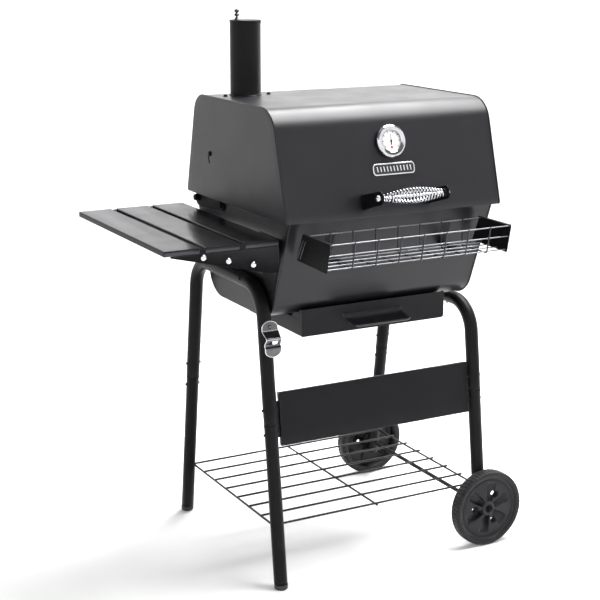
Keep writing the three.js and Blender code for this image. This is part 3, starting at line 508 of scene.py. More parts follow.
def dial_material(base):
    """Printed aluminium dial: white ink with a ring of fine tick marks, one grey arc and a red spot. Rings come
    from the distance to the dial's centre and ticks from the angle round it. Each step below is a name, an
    operation and what it works on: earlier names or numbers."""
    m, t, out = new_material("printed_dial")
    place = node(t, "ShaderNodeTexCoord").outputs["Object"]
    centre = tuple(on_front(2.0, 37.0, 0.0) * MM + ZERO)
    from_centre = node(t, "ShaderNodeVectorMath", {"operation": "SUBTRACT"}, {0: place}, {1: centre}).outputs[0]
    got = {}
    for name, axis in (("east", (1, 0, 0)), ("north", tuple(-FRONT_DOWN))):
        dot = node(t, "ShaderNodeVectorMath", {"operation": "DOT_PRODUCT"}, {0: from_centre}, {1: axis})
        got[name] = dot.outputs["Value"]
    steps = [("x", "MULTIPLY", "east", 1 / MM), ("y", "MULTIPLY", "north", 1 / MM),
             ("xx", "MULTIPLY", "x", "x"), ("yy", "MULTIPLY", "y", "y"), ("rr", "ADD", "xx", "yy"),
             ("r", "SQRT", "rr"), ("turn", "ARCTAN2", "x", "y"), ("off", "ABSOLUTE", "turn"),
             ("span", "LESS_THAN", "off", 2.3)]
    # fine and bold ticks repeat round the dial: how often, and how wide
    for name, often, wide in (("fine", 6.4, 0.1), ("bold", 1.6, 0.045)):
        steps += [(name + "_k", "MULTIPLY", "turn", often), (name + "_f", "FRACT", name + "_k"),
                  (name + "_c", "SUBTRACT", name + "_f", 0.5), (name + "_a", "ABSOLUTE", name + "_c"),
                  (name, "LESS_THAN", name + "_a", wide)]
    # bands between two radii, in millimetres
    for name, low, high in (("fine_band", 20.5, 23.5), ("bold_band", 17.5, 23.8), ("ring", 19.6, 20.2),
                            ("arc_band", 14.2, 15.6)):
        steps += [(name + "_l", "GREATER_THAN", "r", low), (name + "_h", "LESS_THAN", "r", high),
                  (name, "MULTIPLY", name + "_l", name + "_h")]
    steps += [("fine_ticks", "MULTIPLY", "fine", "fine_band"), ("bold_ticks", "MULTIPLY", "bold", "bold_band"),
              ("ticks", "MAXIMUM", "fine_ticks", "bold_ticks"), ("ink", "MAXIMUM", "ticks", "ring"),
              ("marks", "MULTIPLY", "ink", "span"), ("past", "GREATER_THAN", "turn", -1.9),
              ("arc_span", "MULTIPLY", "span", "past"), ("arc", "MULTIPLY", "arc_band", "arc_span"),
              ("low_y", "ADD", "y", 13.5), ("low_yy", "POWER", "low_y", 2.0), ("low_rr", "ADD", "xx", "low_yy"),
              ("low_r", "SQRT", "low_rr"), ("spot", "LESS_THAN", "low_r", 3.0)]
    for name, operation, *given in steps:
        wired = {i: got[g] for i, g in enumerate(given) if isinstance(g, str)}
        fixed = {i: g for i, g in enumerate(given) if not isinstance(g, str)}
        got[name] = node(t, "ShaderNodeMath", {"operation": operation}, wired, fixed).outputs[0]
    colour = node(t, "ShaderNodeMixRGB", None, {"Fac": got["arc"]},
                  {"Color1": linear(base), "Color2": linear("#b9babc")}).outputs[0]
    for mask, tint in (("spot", "#b5362e"), ("marks", "#3a3a3c")):
        colour = node(t, "ShaderNodeMixRGB", None, {"Fac": got[mask], "Color1": colour},
                      {"Color2": linear(tint)}).outputs[0]
    shader = node(t, "ShaderNodeBsdfPrincipled", values={"Roughness": 0.35}, links={"Base Color": colour})
    t.links.new(shader.outputs[0], out.inputs[0])
    return m


def lens_material():
    """Clear pressed glass over the dial, thin enough to see straight through, with a faint cool tint."""
    m, t, out = new_material("thermometer_glass")
    tc = node(t, "ShaderNodeTexCoord")
    smear = node(t, "ShaderNodeTexNoise", values={"Scale": 90.0, "Detail": 2.0}, links={"Vector": tc.outputs["Object"]})
    rough = node(t, "ShaderNodeMapRange", links={"Value": smear.outputs["Fac"]},
                 values={"To Min": 0.0, "To Max": 0.06})
    clear = node(t, "ShaderNodeBsdfTransparent", values={"Color": linear("#fdfdfd")})
    gloss = node(t, "ShaderNodeBsdfGlossy", links={"Roughness": rough.outputs[0]})
    rim = node(t, "ShaderNodeLayerWeight", values={"Blend": 0.06})
    mix = node(t, "ShaderNodeMixShader", links={0: rim.outputs["Fresnel"], 1: clear.outputs[0], 2: gloss.outputs[0]})
    t.links.new(mix.outputs[0], out.inputs[0])
    return m


# ---- barrel ---------------------------------------------------------------------------------------

def lid_line(step=14.0):
    """The lid's section, rear edge to front edge, in (y, z)."""
    return along(bent(LID_CORNERS, LID_BENDS, 26), step)


def box_line(step=14.0):
    """The firebox's section, rear rim to front rim, in (y, z)."""
    return along(bent(BOX_CORNERS, BOX_BENDS, 26), step)


def pan(outline, face, inner, sign, thick=1.4, rim=3.0, tuck=2.6, proud=1.9):
    """A pressed end plate with a turned-in flange. Outline points go round; the second parameter runs from the
    flange's inner edge along it, up the step and round the proud rim, and over the plate to its middle, then back
    along the inside. sign is -1 for an end that faces -X."""
    o = np.asarray(outline, float)
    mid = o.mean(0)
    a = np.linspace(0, math.pi / 2, 7)
    # (distance in from the outer face, inset from the outline)
    outer = [(inner, tuck), (rim + 0.5, tuck), (rim + 0.1, 0.3), (rim, 0.6 - proud), (rim - 0.5, -proud)]
    outer += [((rim - 0.5) * (1 - math.sin(t)), -proud + rim * (1 - math.cos(t)) * 0.8) for t in a[1:]]
    inside = [(thick, tuck + thick), (rim + 1.0, tuck + thick), (inner, tuck + thick)]
    rows = [np.column_stack([np.full(len(o), face - sign * d), sideways(o, s, closed=True)]) for d, s in outer]
    plate_edge = sideways(o, rim * 0.8 - proud, closed=True)
    rows += [np.column_stack([np.full(len(o), face), mid + (plate_edge - mid) * k]) for k in (0.9, 0.6, 0.3, 0.0)]
    rows += [np.column_stack([np.full(len(o), face - sign * thick), mid + (plate_edge - mid) * k])
             for k in (0.0, 0.3, 0.6, 0.9)]
    rows += [np.column_stack([np.full(len(o), face - sign * d), sideways(o, s, closed=True)]) for d, s in inside]
    v = np.concatenate(rows)
    return v, grid_faces(len(rows), len(o), wrap_rows=True, wrap_cols=True)


def closed_section(line, corner=7.0):
    """The section line closed along its open side, with small round corners there; goes round once, inside
    to the right of its direction."""
    pts = np.asarray(line, float)
    a, b = pts[0], pts[-1]
    second, before = pts[1], pts[-2]
    ring = [pts[1:-1]]
    for end, along_to, across_to in ((b, before, a), (a, second, b)):
        d1 = (along_to - end) / np.linalg.norm(along_to - end)
        d2 = (across_to - end) / np.linalg.norm(across_to - end)
        k = np.linspace(0, 1, 6)[:, None]
        p0, p2 = end + d1 * corner, end + d2 * corner
        curve = (1 - k) ** 2 * p0 + 2 * k * (1 - k) * end + k ** 2 * p2
        ring.append(curve if end is b else curve[::-1])
    return np.concatenate(ring)


def oriented(outline):
    """The outline in the order that puts its inside on the right."""
    o = np.asarray(outline, float)
    area = (o[:, 0] * np.roll(o[:, 1], -1) - np.roll(o[:, 0], -1) * o[:, 1]).sum()
    return o[::-1] if area > 0 else o


class BuildLid(bpy.types.Operator):
    """Build the lid's shell, its two pressed ends and the small hardware on them"""
    bl_idname = "grill.lid"
    bl_label = "Lid"

    def execute(self, context):
        paint = MATERIALS["paint"]
        line = lid_line()
        shell = prism(np.vstack([line, sideways(line, -SHEET)[::-1]]), "x", -LID_HALF + SEAM, LID_HALF - SEAM)
        flue = drill((-184, 86, 1062), (0, 0, 1), 35.3, 20, 48)
        stem = drill(on_front(2, 37, 0), FRONT_OUT, 7, 12, 24)
        piece("lid_shell", with_holes([shell], [flue, stem]), "lid", paint, ["lid_skin"], bevel=0.35)
        ring = oriented(closed_section(line))
        hinge_y, hinge_z = 183.0, 817.0
        for side, sign, box_end in (("left", -1, BOX_LEFT), ("right", 1, BOX_RIGHT)):
            parts = [pan(ring, sign * LID_HALF, 12.0, sign)]
            lo, hi = sorted((box_end + sign * 0.35, box_end + sign * 1.8))
            ear = bent([(hinge_y - 14, hinge_z + 26), (hinge_y - 14, hinge_z - 13), (hinge_y + 14, hinge_z - 13),
                        (hinge_y + 14, hinge_z + 26)], [0, 12, 12, 0], 8)
            parts.append(prism(ear, "x", lo, hi))
            lo, hi = sorted((box_end + sign * 0.4, sign * (LID_HALF - 1.0)))
            parts.append(block((lo, hi), (hinge_y - 14, hinge_y + 14), (hinge_z + 24, hinge_z + 26)))
            piece(f"lid_end_{side}", parts, "lid", paint, [f"lid_{side}_end"], sharp=40)
            # the warming rack's pivot comes through each end with a small stop slot under it
            face = sign * LID_HALF
            piece(f"rack_pivot_{side}", [dome_head((face, 89.4, 932.4), (sign, 0, 0), 5.8, 4.4)], "lid",
                  MATERIALS["bracket"])
            slot = rounded_rect(4.8, 19.0, 2.3)
            spin = np.array([[math.cos(-0.35), -math.sin(-0.35)], [math.sin(-0.35), math.cos(-0.35)]])
            slot = slot @ spin.T + np.array([96.5, 918.5])
            lo, hi = sorted((face - sign * 0.3, face + sign * 0.25))
            piece(f"rack_stop_{side}", [prism(slot, "x", lo, hi)], "lid", MATERIALS["void"])
        return {"FINISHED"}


class BuildChimney(bpy.types.Operator):
    """Build the chimney pipe, its swivelling cap and the cap's knob"""
    bl_idname = "grill.chimney"
    bl_label = "Chimney"

    def execute(self, context):
        cx, cy, r, top = -184.0, 86.0, 35.0, 1229.0
        pipe = [(r - 1.4, 1056), (r + 0.1, 1056), (r, 1062.3), (r + 2.6, 1062.35), (r + 2.4, 1063.0), (r + 0.6, 1064.6),
                (r, 1067.5), (r, 1100), (r, 1180), (r, top - 6), (r + 0.35, top - 3.2), (r + 0.45, top - 1.2),
                (r + 0.1, top - 0.2), (r - 0.7, top), (r - 1.4, top - 0.7), (r - 1.4, 1180), (r - 1.4, 1100), (r - 1.4, 1056)]
        parts = [turned(pipe, (cx, cy, 0), (0, 0, 1), 96)]
        # fixing plate under the lid, a ring of sheet with round corners
        k = 48
        a = np.linspace(0, 2 * math.pi, k, endpoint=False)
        sq = np.stack([np.clip(np.cos(a) * 1.6, -1, 1) * 68, np.clip(np.sin(a) * 1.6, -1, 1) * 40 - 3], 1)
        ci = np.stack([np.cos(a) * (r - 1.0), np.sin(a) * (r - 1.0)], 1)
        rows = [np.column_stack([p + (cx, cy), np.full(k, z)]) for p, z in ((ci, 1058), (sq, 1058), (sq, 1056), (ci, 1056))]
        parts.append((np.concatenate(rows), grid_faces(4, k, wrap_rows=True, wrap_cols=True)))
        piece("chimney", parts, "lid", MATERIALS["tube"], ["chimney_pipe"], sharp=50)
        # welded seam down the back of the pipe
        seam_z = np.linspace(1068, top - 5, 60)
        wob = 0.12 * np.sin(seam_z * 1.9)
        path = np.column_stack([np.full(60, cx + 6.0) + wob, np.full(60, cy + math.sqrt(r * r - 36) - 0.5), seam_z])
        piece("chimney_seam", [bar(path, 1.0, 8, up=(1, 0, 0))], "lid", MATERIALS["tube"])
        for i, dx in enumerate((-55, 55)):
            piece(f"chimney_screw_{i + 1}", bolt_head((cx + dx, cy - 8, 1062), (0, 0, 1), 5.6, 4.2), "lid",
                  MATERIALS["bracket"])
        z = top + 0.35
        disc = [(0, z - 0.2), (r - 3, z - 0.2), (r + 0.9, z - 0.2), (r + 1.2, z + 0.4), (r + 0.9, z + 1.3), (r - 0.5, z + 1.9),
                (r - 6, z + 2.1), (0, z + 2.1)]
        cap = [turned(disc, (cx, cy, 0), (0, 0, 1), 96),
               turned([(0, z - 16), (3, z - 16), (3, z), (0, z)], (cx - 21, cy, 0), (0, 0, 1), 20),
               # the loose end of the cap's spring clip hangs just inside the rim
               block((cx + 12, cx + 26), (cy - 27.5, cy - 26.3), (z - 5, z))]
        piece("chimney_lid", cap, "chimney_cap", MATERIALS["tube"], ["chimney_cap"], sharp=50)
        knob = [(0, 2.1), (6.5, 2.1), (6.0, 3.4), (3.6, 6), (2.6, 9), (2.6, 10.5), (5.0, 11.2), (5.9, 13), (5.4, 15), (3.0, 16.2),
                (2.8, 18.5), (4.8, 19.4), (5.6, 21.5), (5.2, 24), (3.4, 25.6), (0, 26.2)]
        piece("chimney_knob", [turned([(a_, z + b_) for a_, b_ in knob], (cx - 21, cy, 0), (0, 0, 1), 32)], "chimney_cap",
              MATERIALS["knob"], ["cap_knob"], sharp=60)
        return {"FINISHED"}


class BuildThermometer(bpy.types.Operator):
    """Build the thermometer's bezel, dial, needle and glass"""
    bl_idname = "grill.thermometer"
    bl_label = "Thermometer"

    def execute(self, context):
        at = on_front(2, 37, 0)
        a = np.linspace(-0.1, math.pi * 0.55, 12)
        outer = [(31.4 + 4.9 * math.cos(t), 7.0 + 5.6 * math.sin(t)) for t in a]
        bezel = [(0, -40), (3.2, -40), (3.5, -38), (3.5, 0.35), (26, 0.6), (33, 0.9), (35.2, 2.4), (36.2, 5.0)] + outer + \
                [(28.4, 12.0), (25.2, 11.8), (24.0, 11.2), (23.6, 9.9), (25.7, 9.3), (25.7, 7.3), (0, 7.2)]
        piece("thermometer_bezel", [turned(bezel, at, FRONT_OUT, 96)], "lid", MATERIALS["chrome"],
              ["thermometer_case"], sharp=50)
        piece("thermometer_face", [turned([(0, 7.25), (25.5, 7.25), (25.5, 8.0), (0, 8.0)], at, FRONT_OUT, 96)], "lid",
              MATERIALS["dial"], ["thermometer_dial"])
        centre = np.array([[0.0, 9.0], [1.5, 7.0], [0.9, 0.0], [0.3, -15.5], [-0.3, -15.5], [-0.9, 0.0], [-1.5, 7.0]])
        hub = turned([(0, 8.3), (2.6, 8.3), (2.6, 9.2), (1.8, 9.6), (0, 9.7)], at, FRONT_OUT, 24)
        piece("thermometer_pointer", [front_plate(centre, 2, 37, 8.4, 9.0), hub], "needle", MATERIALS["needle"],
              ["thermometer_needle"])
        glass = [(0, 9.75), (25.5, 9.7), (26.0, 9.9), (25.6, 10.3), (18, 10.9), (0, 11.3)]
        gasket = [(25.4, 8.1), (25.6, 8.1), (25.6, 9.6), (24.0, 9.6), (23.8, 8.1), (25.4, 8.1)]
        piece("thermometer_gasket", [turned(gasket, at, FRONT_OUT, 96)], "lid", MATERIALS["bracket"])
        piece("thermometer_glass", [turned(glass, at, FRONT_OUT, 96)], "lid", MATERIALS["lens"],
              ["thermometer_lens"])
        return {"FINISHED"}


class BuildBadge(bpy.types.Operator):
    """Build the plain badge: a polished rim round a dark enamel field, with no lettering"""
    bl_idname = "grill.badge"
    bl_label = "Badge"

    def execute(self, context):
        x, down = 4.0, 96.4
        rim = front_plate(rounded_rect(106, 26, 8), x, down, 0.35, 2.6)
        field = front_plate(rounded_rect(101, 21, 6), x, down, 2.5, 3.1)
        piece("badge_rim", [rim], "lid", MATERIALS["badge_rim"], ["badge_plate"], bevel=0.6, segments=3)
        piece("badge_field", [field], "lid", MATERIALS["badge_field"], bevel=0.3)
        # a row of plain slanted strokes fills the field
        stroke = np.array([(-1.4, -5.6), (1.0, -5.6), (-0.2, 5.6), (-2.6, 5.6)]) * (1, -1)
        strokes = [front_plate(stroke + (0.8, 0), x - 42 + 8.4 * i, down, 3.05, 3.6) for i in range(11)]
        piece("badge_strokes", strokes, "lid", MATERIALS["badge_rim"], bevel=0.2)
        return {"FINISHED"}


class BuildHandle(bpy.types.Operator):
    """Build the lid's handle: two black brackets, a chrome rod and a coiled wire grip"""
    bl_idname = "grill.handle"
    bl_label = "Handle"

    def execute(self, context):
        sizes = context.scene.grill_sizes
        half, down, out = 83.0, 163.0, 70.7
        for side, s in (("left", -1), ("right", 1)):
            x = s * half
            # arm in the plane square to the rod: foot flange, web that narrows, round eye
            web = bent([(-17, 0.4), (-15.5, 12), (-14.5, out + 13.5), (14.5, out + 13.5), (15.5, 12), (17, 0.4), (-17, 0.4)],
                       [0, 8, 10, 10, 8, 0, 0], 9)[:-1]
            n = len(web)
            v = np.concatenate([on_front(x + e, down + web[:, 0], web[:, 1]) for e in (-1.5, 1.5)])
            faces = [list(f) for f in grid_faces(2, n, wrap_cols=True)] + [list(range(n - 1, -1, -1)), list(range(n, 2 * n))]
            foot = front_plate(rounded_rect(22, 30, 4), x + 6.5 * s * -1, down, 0.35, 2.2)
            parts = [(v, faces), foot] + bolt_head(on_front(x - s * 10.5, down, 2.2), FRONT_OUT, 4.2, 3.0)
            piece(f"handle_arm_{side}", parts, "lid", MATERIALS["bracket"],
                  [f"handle_bracket_{side}"], bevel=0.5)
            at = on_front(x + s * 1.6, down, out)
            nut = [(0, 0), (7.6, 0), (7.8, 1.0), (6.6, 1.6), (6.2, 4.6), (4.8, 7.0), (2.4, 8.0), (0, 8.3)]
            piece(f"handle_nut_{side}", [turned(nut, at, (s, 0, 0), 40)], "lid", MATERIALS["chrome"], sharp=50)
        ends = on_front(np.array([-half, half]), down, out)
        piece("handle_core", [bar(ends, 3.2, 20, up=(0, 0, 1))], "lid", MATERIALS["chrome"], ["handle_rod"])
        # grip: one wire wound on a barrel shape; the radius is a raised cosine along the rod
        turns, per = sizes.coil_turns, 26
        k = np.linspace(0, 1, turns * per)
        x = -76 + 152 * k
        rad = 6.6 + 9.9 * np.sin(math.pi * k) ** 1.05
        ang = 2 * math.pi * turns * k
        axis_at = on_front(0, down, out)
        path = np.column_stack([x, axis_at[1] + rad * np.cos(ang), axis_at[2] + rad * np.sin(ang)])
        piece("handle_coil", [bar(path, sizes.coil_wire / MM, 9, up=(1, 0, 0))], "lid", MATERIALS["chrome"],
              ["handle_grip"])
        for s in (-1, 1):
            at = on_front(s * 80.5, down, out)
            piece(f"handle_ferrule_{'left' if s < 0 else 'right'}",
                  [turned([(0, -4.0), (8.2, -4.0), (9.0, -2.6), (9.0, 0), (7.5, 0.9), (0, 0.95)], at, (s, 0, 0), 36)], "lid",
                  MATERIALS["bracket"], sharp=50)
        return {"FINISHED"}


class BuildFirebox(bpy.types.Operator):
    """Build the firebox shell and its two ends with the grate lips and the air holes"""
    bl_idname = "grill.firebox"
    bl_label = "Firebox"

    def execute(self, context):
        line = box_line()
        shell = prism(np.vstack([line, sideways(line, SHEET)[::-1]]), "x", BOX_LEFT + SEAM, BOX_RIGHT - SEAM)
        mouth = block((-150, 150), (-110, 20), (590, 610))
        piece("firebox_shell", with_holes([shell], [mouth]), "stand", MATERIALS["paint"],
              ["firebox_skin"], bevel=0.35)
        ring = oriented(closed_section(line, 10.0))
        vents = [drill((BOX_RIGHT, -30 + 24 * math.cos(a), 668 + 24 * math.sin(a)), (1, 0, 0), 9, 8)
                 for a in np.radians([90, 210, 330])]
        for side, sign, face in (("left", -1, BOX_LEFT), ("right", 1, BOX_RIGHT)):
            end = pan(ring, face, 12.0, sign)
            parts = with_holes([end], vents) if side == "right" else [end]
            for z, lo_y, hi_y in ((812, -244, 187), (676, -192, 132)):
                inner = face - sign * 1.2
                lip = [(0, 0), (24, 0), (24, -12)]
                flat = np.array([(inner - sign * a, z - 3.55 + b) for a, b in lip])
                flat = flat if sign < 0 else flat[::-1]
                parts.append(folded(flat, "y", lo_y, hi_y, 1.5 if sign < 0 else 1.5))
            piece(f"firebox_end_{side}", parts, "stand", MATERIALS["paint"],
                  [f"firebox_{side}_end"], sharp=40)
        # a rolled bead along the front rim catches the light
        for name, (y, z) in (("front", (-266.5, 835)), ("rear", (208.3, 835))):
            s = 1 if y < 0 else -1
            path = np.array([(BOX_LEFT + 6, y + s * 0.7, z + 0.4), (BOX_RIGHT - 6, y + s * 0.7, z + 0.4)])
            piece(f"firebox_bead_{name}", [bar(path, 1.5, 12)], "stand", MATERIALS["paint"])
        return {"FINISHED"}


class BuildHinges(bpy.types.Operator):
    """Build the two hinge plates with their pivot and stay bolts, and the air damper"""
    bl_idname = "grill.hinges"
    bl_label = "Hinges and damper"

    def execute(self, context):
        hy, hz, sy = 183.0, 817.0, 60.5
        outline = bent([(hy + 17, hz + 2), (hy + 15, hz - 18), (hy - 14, hz - 21), (sy - 6, hz - 14), (sy - 15, hz - 2),
                        (sy - 6, hz + 9), (hy + 15, hz + 8), (hy + 17, hz + 2)], [0, 14, 14, 10, 9, 8, 6, 0], 6)[:-1]
        for side, s, face in (("left", -1, BOX_LEFT), ("right", 1, BOX_RIGHT)):
            lo, hi = sorted((face + s * 2.3, face + s * 4.0))
            parts = [prism(outline, "x", lo, hi)]
            for y, z in ((hy, hz), (sy, hz + 1)):
                parts.append(turned([(0, 0.4), (4.2, 0.4), (4.2, 4), (0, 4)], (face, y, z), (s, 0, 0), 20))
                far = (15.8 if s < 0 else 11.4) if y == hy else 9.5
                head = [(0, 3.7), (8.6, 3.7), (8.8, 4.3), (8.8, 5.2), (7.6, 5.6), (7.6, far - 1.6), (6.6, far - 0.3),
                        (4.0, far), (0, far)]
                parts.append(turned(head, (face, y, z), (s, 0, 0), 32))
            parts.append(turned([(0, 0.4), (9, 0.4), (9, 2.4), (0, 2.4)], (face, sy, hz + 1), (s, 0, 0), 28))
            piece(f"hinge_{side}", parts, "stand", MATERIALS["bracket"], [f"hinge_plate_{side}"],
                  bevel=0.35)
        x = BOX_RIGHT + 0.35
        disc = turned([(0, 0), (38, 0), (38.3, 0.5), (37.6, 1.6), (0, 1.6)], (x, -30, 668), (1, 0, 0), 64)
        holes = [drill((x, -30 + 24 * math.cos(a), 668 + 24 * math.sin(a)), (1, 0, 0), 9, 8) for a in np.radians([90, 210, 330])]
        parts = with_holes([disc], holes)
        tab = bent([(x, 640), (x, 617), (x + 8, 617)], [0, 2.5, 0], 5)
        parts.append(folded(tab, "y", -38, -22, -1.6))
        parts.append(dome_head((x + 1.6, -30, 668), (1, 0, 0), 7, 4))
        piece("damper_disc", parts, "damper", MATERIALS["bracket"], ["air_damper"])
        return {"FINISHED"}


def rod_net(runs, r, sides=10):
    """Straight and bent wires, each a round bar along its own points."""
    return [bar(np.asarray(p, float), r, sides, up=u) for p, u in runs]


class BuildGrates(bpy.types.Operator):
    """Build the cooking grates, the charcoal grate and the warming rack"""
    bl_idname = "grill.grates"
    bl_label = "Grates"

    def execute(self, context):
        left, right = BOX_LEFT + 2.35, BOX_RIGHT - 2.35
        mid = (left + right) / 2

        def wall(z):
            f = -176 + (z - 599) / 236 * -90.5
            b = 118 + (z - 599) / 236 * 90.3
            return f + 2.5, b - 2.5

        def grate(x0, x1, y0, y1, z, count, r, thin):
            runs = [(((x, y0, z), (x, y1, z)), (1, 0, 0)) for x in (x0 + r, x1 - r)]
            ys = y0 + 2 * r + (y1 - y0 - 4 * r) * np.arange(count) / (count - 1)
            runs += [(((x0 + r, y, z + 0.6), (x1 - r, y, z + 0.6)), (0, 0, 1)) for y in ys]
            return rod_net(runs[:2], r, 12) + rod_net(runs[2:], thin, 10)

        f, b = wall(807)
        for name, x0, x1 in (("left", left + 4, mid - 2), ("right", mid + 2, right - 4)):
            parts = grate(x0, x1, f + 4, b - 4, 812, 29, 3.2, 2.2)
            # the cross bar under the middle of each grate
            xm = (x0 + x1) / 2
            parts.append(bar(np.array([(xm, f + 8, 809.4), (xm, b - 8, 809.4)]), 2.6, 12, up=(1, 0, 0)))
            piece(f"cooking_grid_{name}", parts, "stand", MATERIALS["grate"], [f"cooking_grate_{name}"])
        f, b = wall(668)
        piece("charcoal_grid", grate(left + 20, right - 20, f + 8, b - 8, 676, 16, 3.2, 3.0), "stand", MATERIALS["grate"],
              ["charcoal_grate"])
        half, z, front, rear, r = 246.0, 906.0, -14.0, 128.0, 2.5
        runs = [(((-half, y, z), (half, y, z)), (0, 0, 1)) for y in (front, rear)]
        xs = -half + 6 + (2 * half - 12) * np.arange(29) / 28
        runs += [(((x, front, z + 0.8), (x, rear, z + 0.8)), (1, 0, 0)) for x in xs]
        for s in (-1, 1):
            hang = np.array([(s * (half - 6), front, z), (s * (half - 6), 89.4, 932.4), (s * (LID_HALF - 2.75), 89.4, 932.4)])
            runs.append((bent(hang, [0, 6, 0], 8), (0, -0.25, 1)))
        piece("warming_grid", rod_net(runs, r), "rack", MATERIALS["wire"], ["warming_rack"])
        return {"FINISHED"}


class BuildDrawer(bpy.types.Operator):
    """Build the ash drawer with its folded pull, and the rails it runs on"""
    bl_idname = "grill.drawer"
    bl_label = "Ash drawer"

    def execute(self, context):
        half, front, rear, top, bottom = 188.0, -192.0, 66.0, 594.0, 555.0
        # tray: one sheet folded up at both sides and in again at the top, closed at the back
        section = bent([(half - 13.5, top - 0.8), (half - 0.5, top - 0.8), (half - 0.5, bottom + 8), (half - 8.5, bottom),
                        (-half + 0.5, bottom), (-half + 0.5, top - 0.8), (-half + 13.5, top - 0.8)],
                       [0, 1.8, 2, 2, 2.5, 1.8, 0], 5)
        parts = [folded(section, "y", front + 1.2, rear, 1.2)]
        parts.append(block((-half + 1.8, half - 1.8), (rear - 1.4, rear), (bottom + 1, top - 16)))
        corner = [(half - 8, bottom), (half, bottom + 8)]
        plate = np.vstack([bent([(-half, 617), (-half, bottom), corner[0]], [0, 3, 0], 6), bent(
            [corner[0], (half - 1, bottom + 0.4), corner[1]], [0, 5, 0], 6)[1:], [(half, 617)]])
        parts.append(prism(plate, "y", front, front + 1.5))
        # the sides rise towards the front, following the firebox's underside
        gusset = [(front + 1, top - 1), (front + 1, 617), (-184, 617), (-180, 613), (-172, 608),
                  (-162, 602.6), (-150, 597.6), (-141, top - 1)]
        for s in (-1, 1):
            lo, hi = sorted((s * (half - 0.5), s * (half - 1.7)))
            parts.append(prism(gusset, "x", lo, hi))
        # hemmed edges of the front: a thin roll along its bottom
        edge = np.array([(-half + 3, front + 0.9, bottom + 0.7), (half - 9, front + 0.9, bottom + 0.7)])
        parts.append(bar(edge, 1.1, 10))
        piece("ash_tray", parts, "drawer", MATERIALS["panel"], ["ash_drawer"], bevel=0.3)
        # pull: a lip folded out of a strip, its end corners cut back, with a hemmed front edge
        y0 = front - 0.4
        u = np.linspace(-1, 1, 41)
        lines = np.array([(0.0, 595.0), (-0.5, 590.0), (-2.2, 586.4), (-5.5, 583.8), (-12, 581.2), (-26, 577.0), (-37.5, 573.6),
                          (-40.6, 573.3), (-41.9, 574.6), (-41.2, 576.4), (-38.5, 577.0)])
        reach = np.clip(-lines[:, 0] / 42.0, 0, 1)
        mid_x = -8.0 + 6.0 * reach[:, None]
        half_x = 77.0 - 5.0 * reach[:, None]
        grid = np.empty((len(lines), len(u), 3))
        grid[..., 0] = mid_x + u[None] * half_x
        grid[..., 1] = y0 + lines[:, 0][:, None]
        grid[..., 2] = lines[:, 1][:, None] + 3.0 * np.clip(np.abs(u[None]) - 0.86, 0, 1) ** 2 / 0.0196
        # painted light: the lip takes the lid's lighter paint, not the drawer's deeper black, so its upturned face
        # reads as light as the drawer front instead of black in shade
        obj = piece("drawer_lip", [(grid.reshape(-1, 3), grid_faces(len(lines), len(u)))], "drawer", MATERIALS["paint"],
                    ["drawer_pull"], sharp=60)
        wall = obj.modifiers.new("sheet", "SOLIDIFY")
        wall.thickness = 1.2 * MM
        wall.offset = 0.0
        for side, s in (("left", -1), ("right", 1)):
            x = [s * v for v in (160, 170.8, 170.8, 184)]
            rail = np.array([(x[0], 597.9), (x[1], 597.9), (x[1], 591.0), (x[3], 591.0)])
            rail = rail if s > 0 else rail[::-1]
            piece(f"drawer_rail_{side}_visible", [folded(rail, "y", -110, 48, 1.4)], "stand", MATERIALS["tube"],
                  [f"drawer_rail_{side}"], bevel=0.3)
        return {"FINISHED"}


# ---- stand ----------------------------------------------------------------------------------------

def leg_y(z):
    """How far a leg's axis stands out from the middle at a height."""
    return LEG_FOOT_Y - LEG_SLANT * z


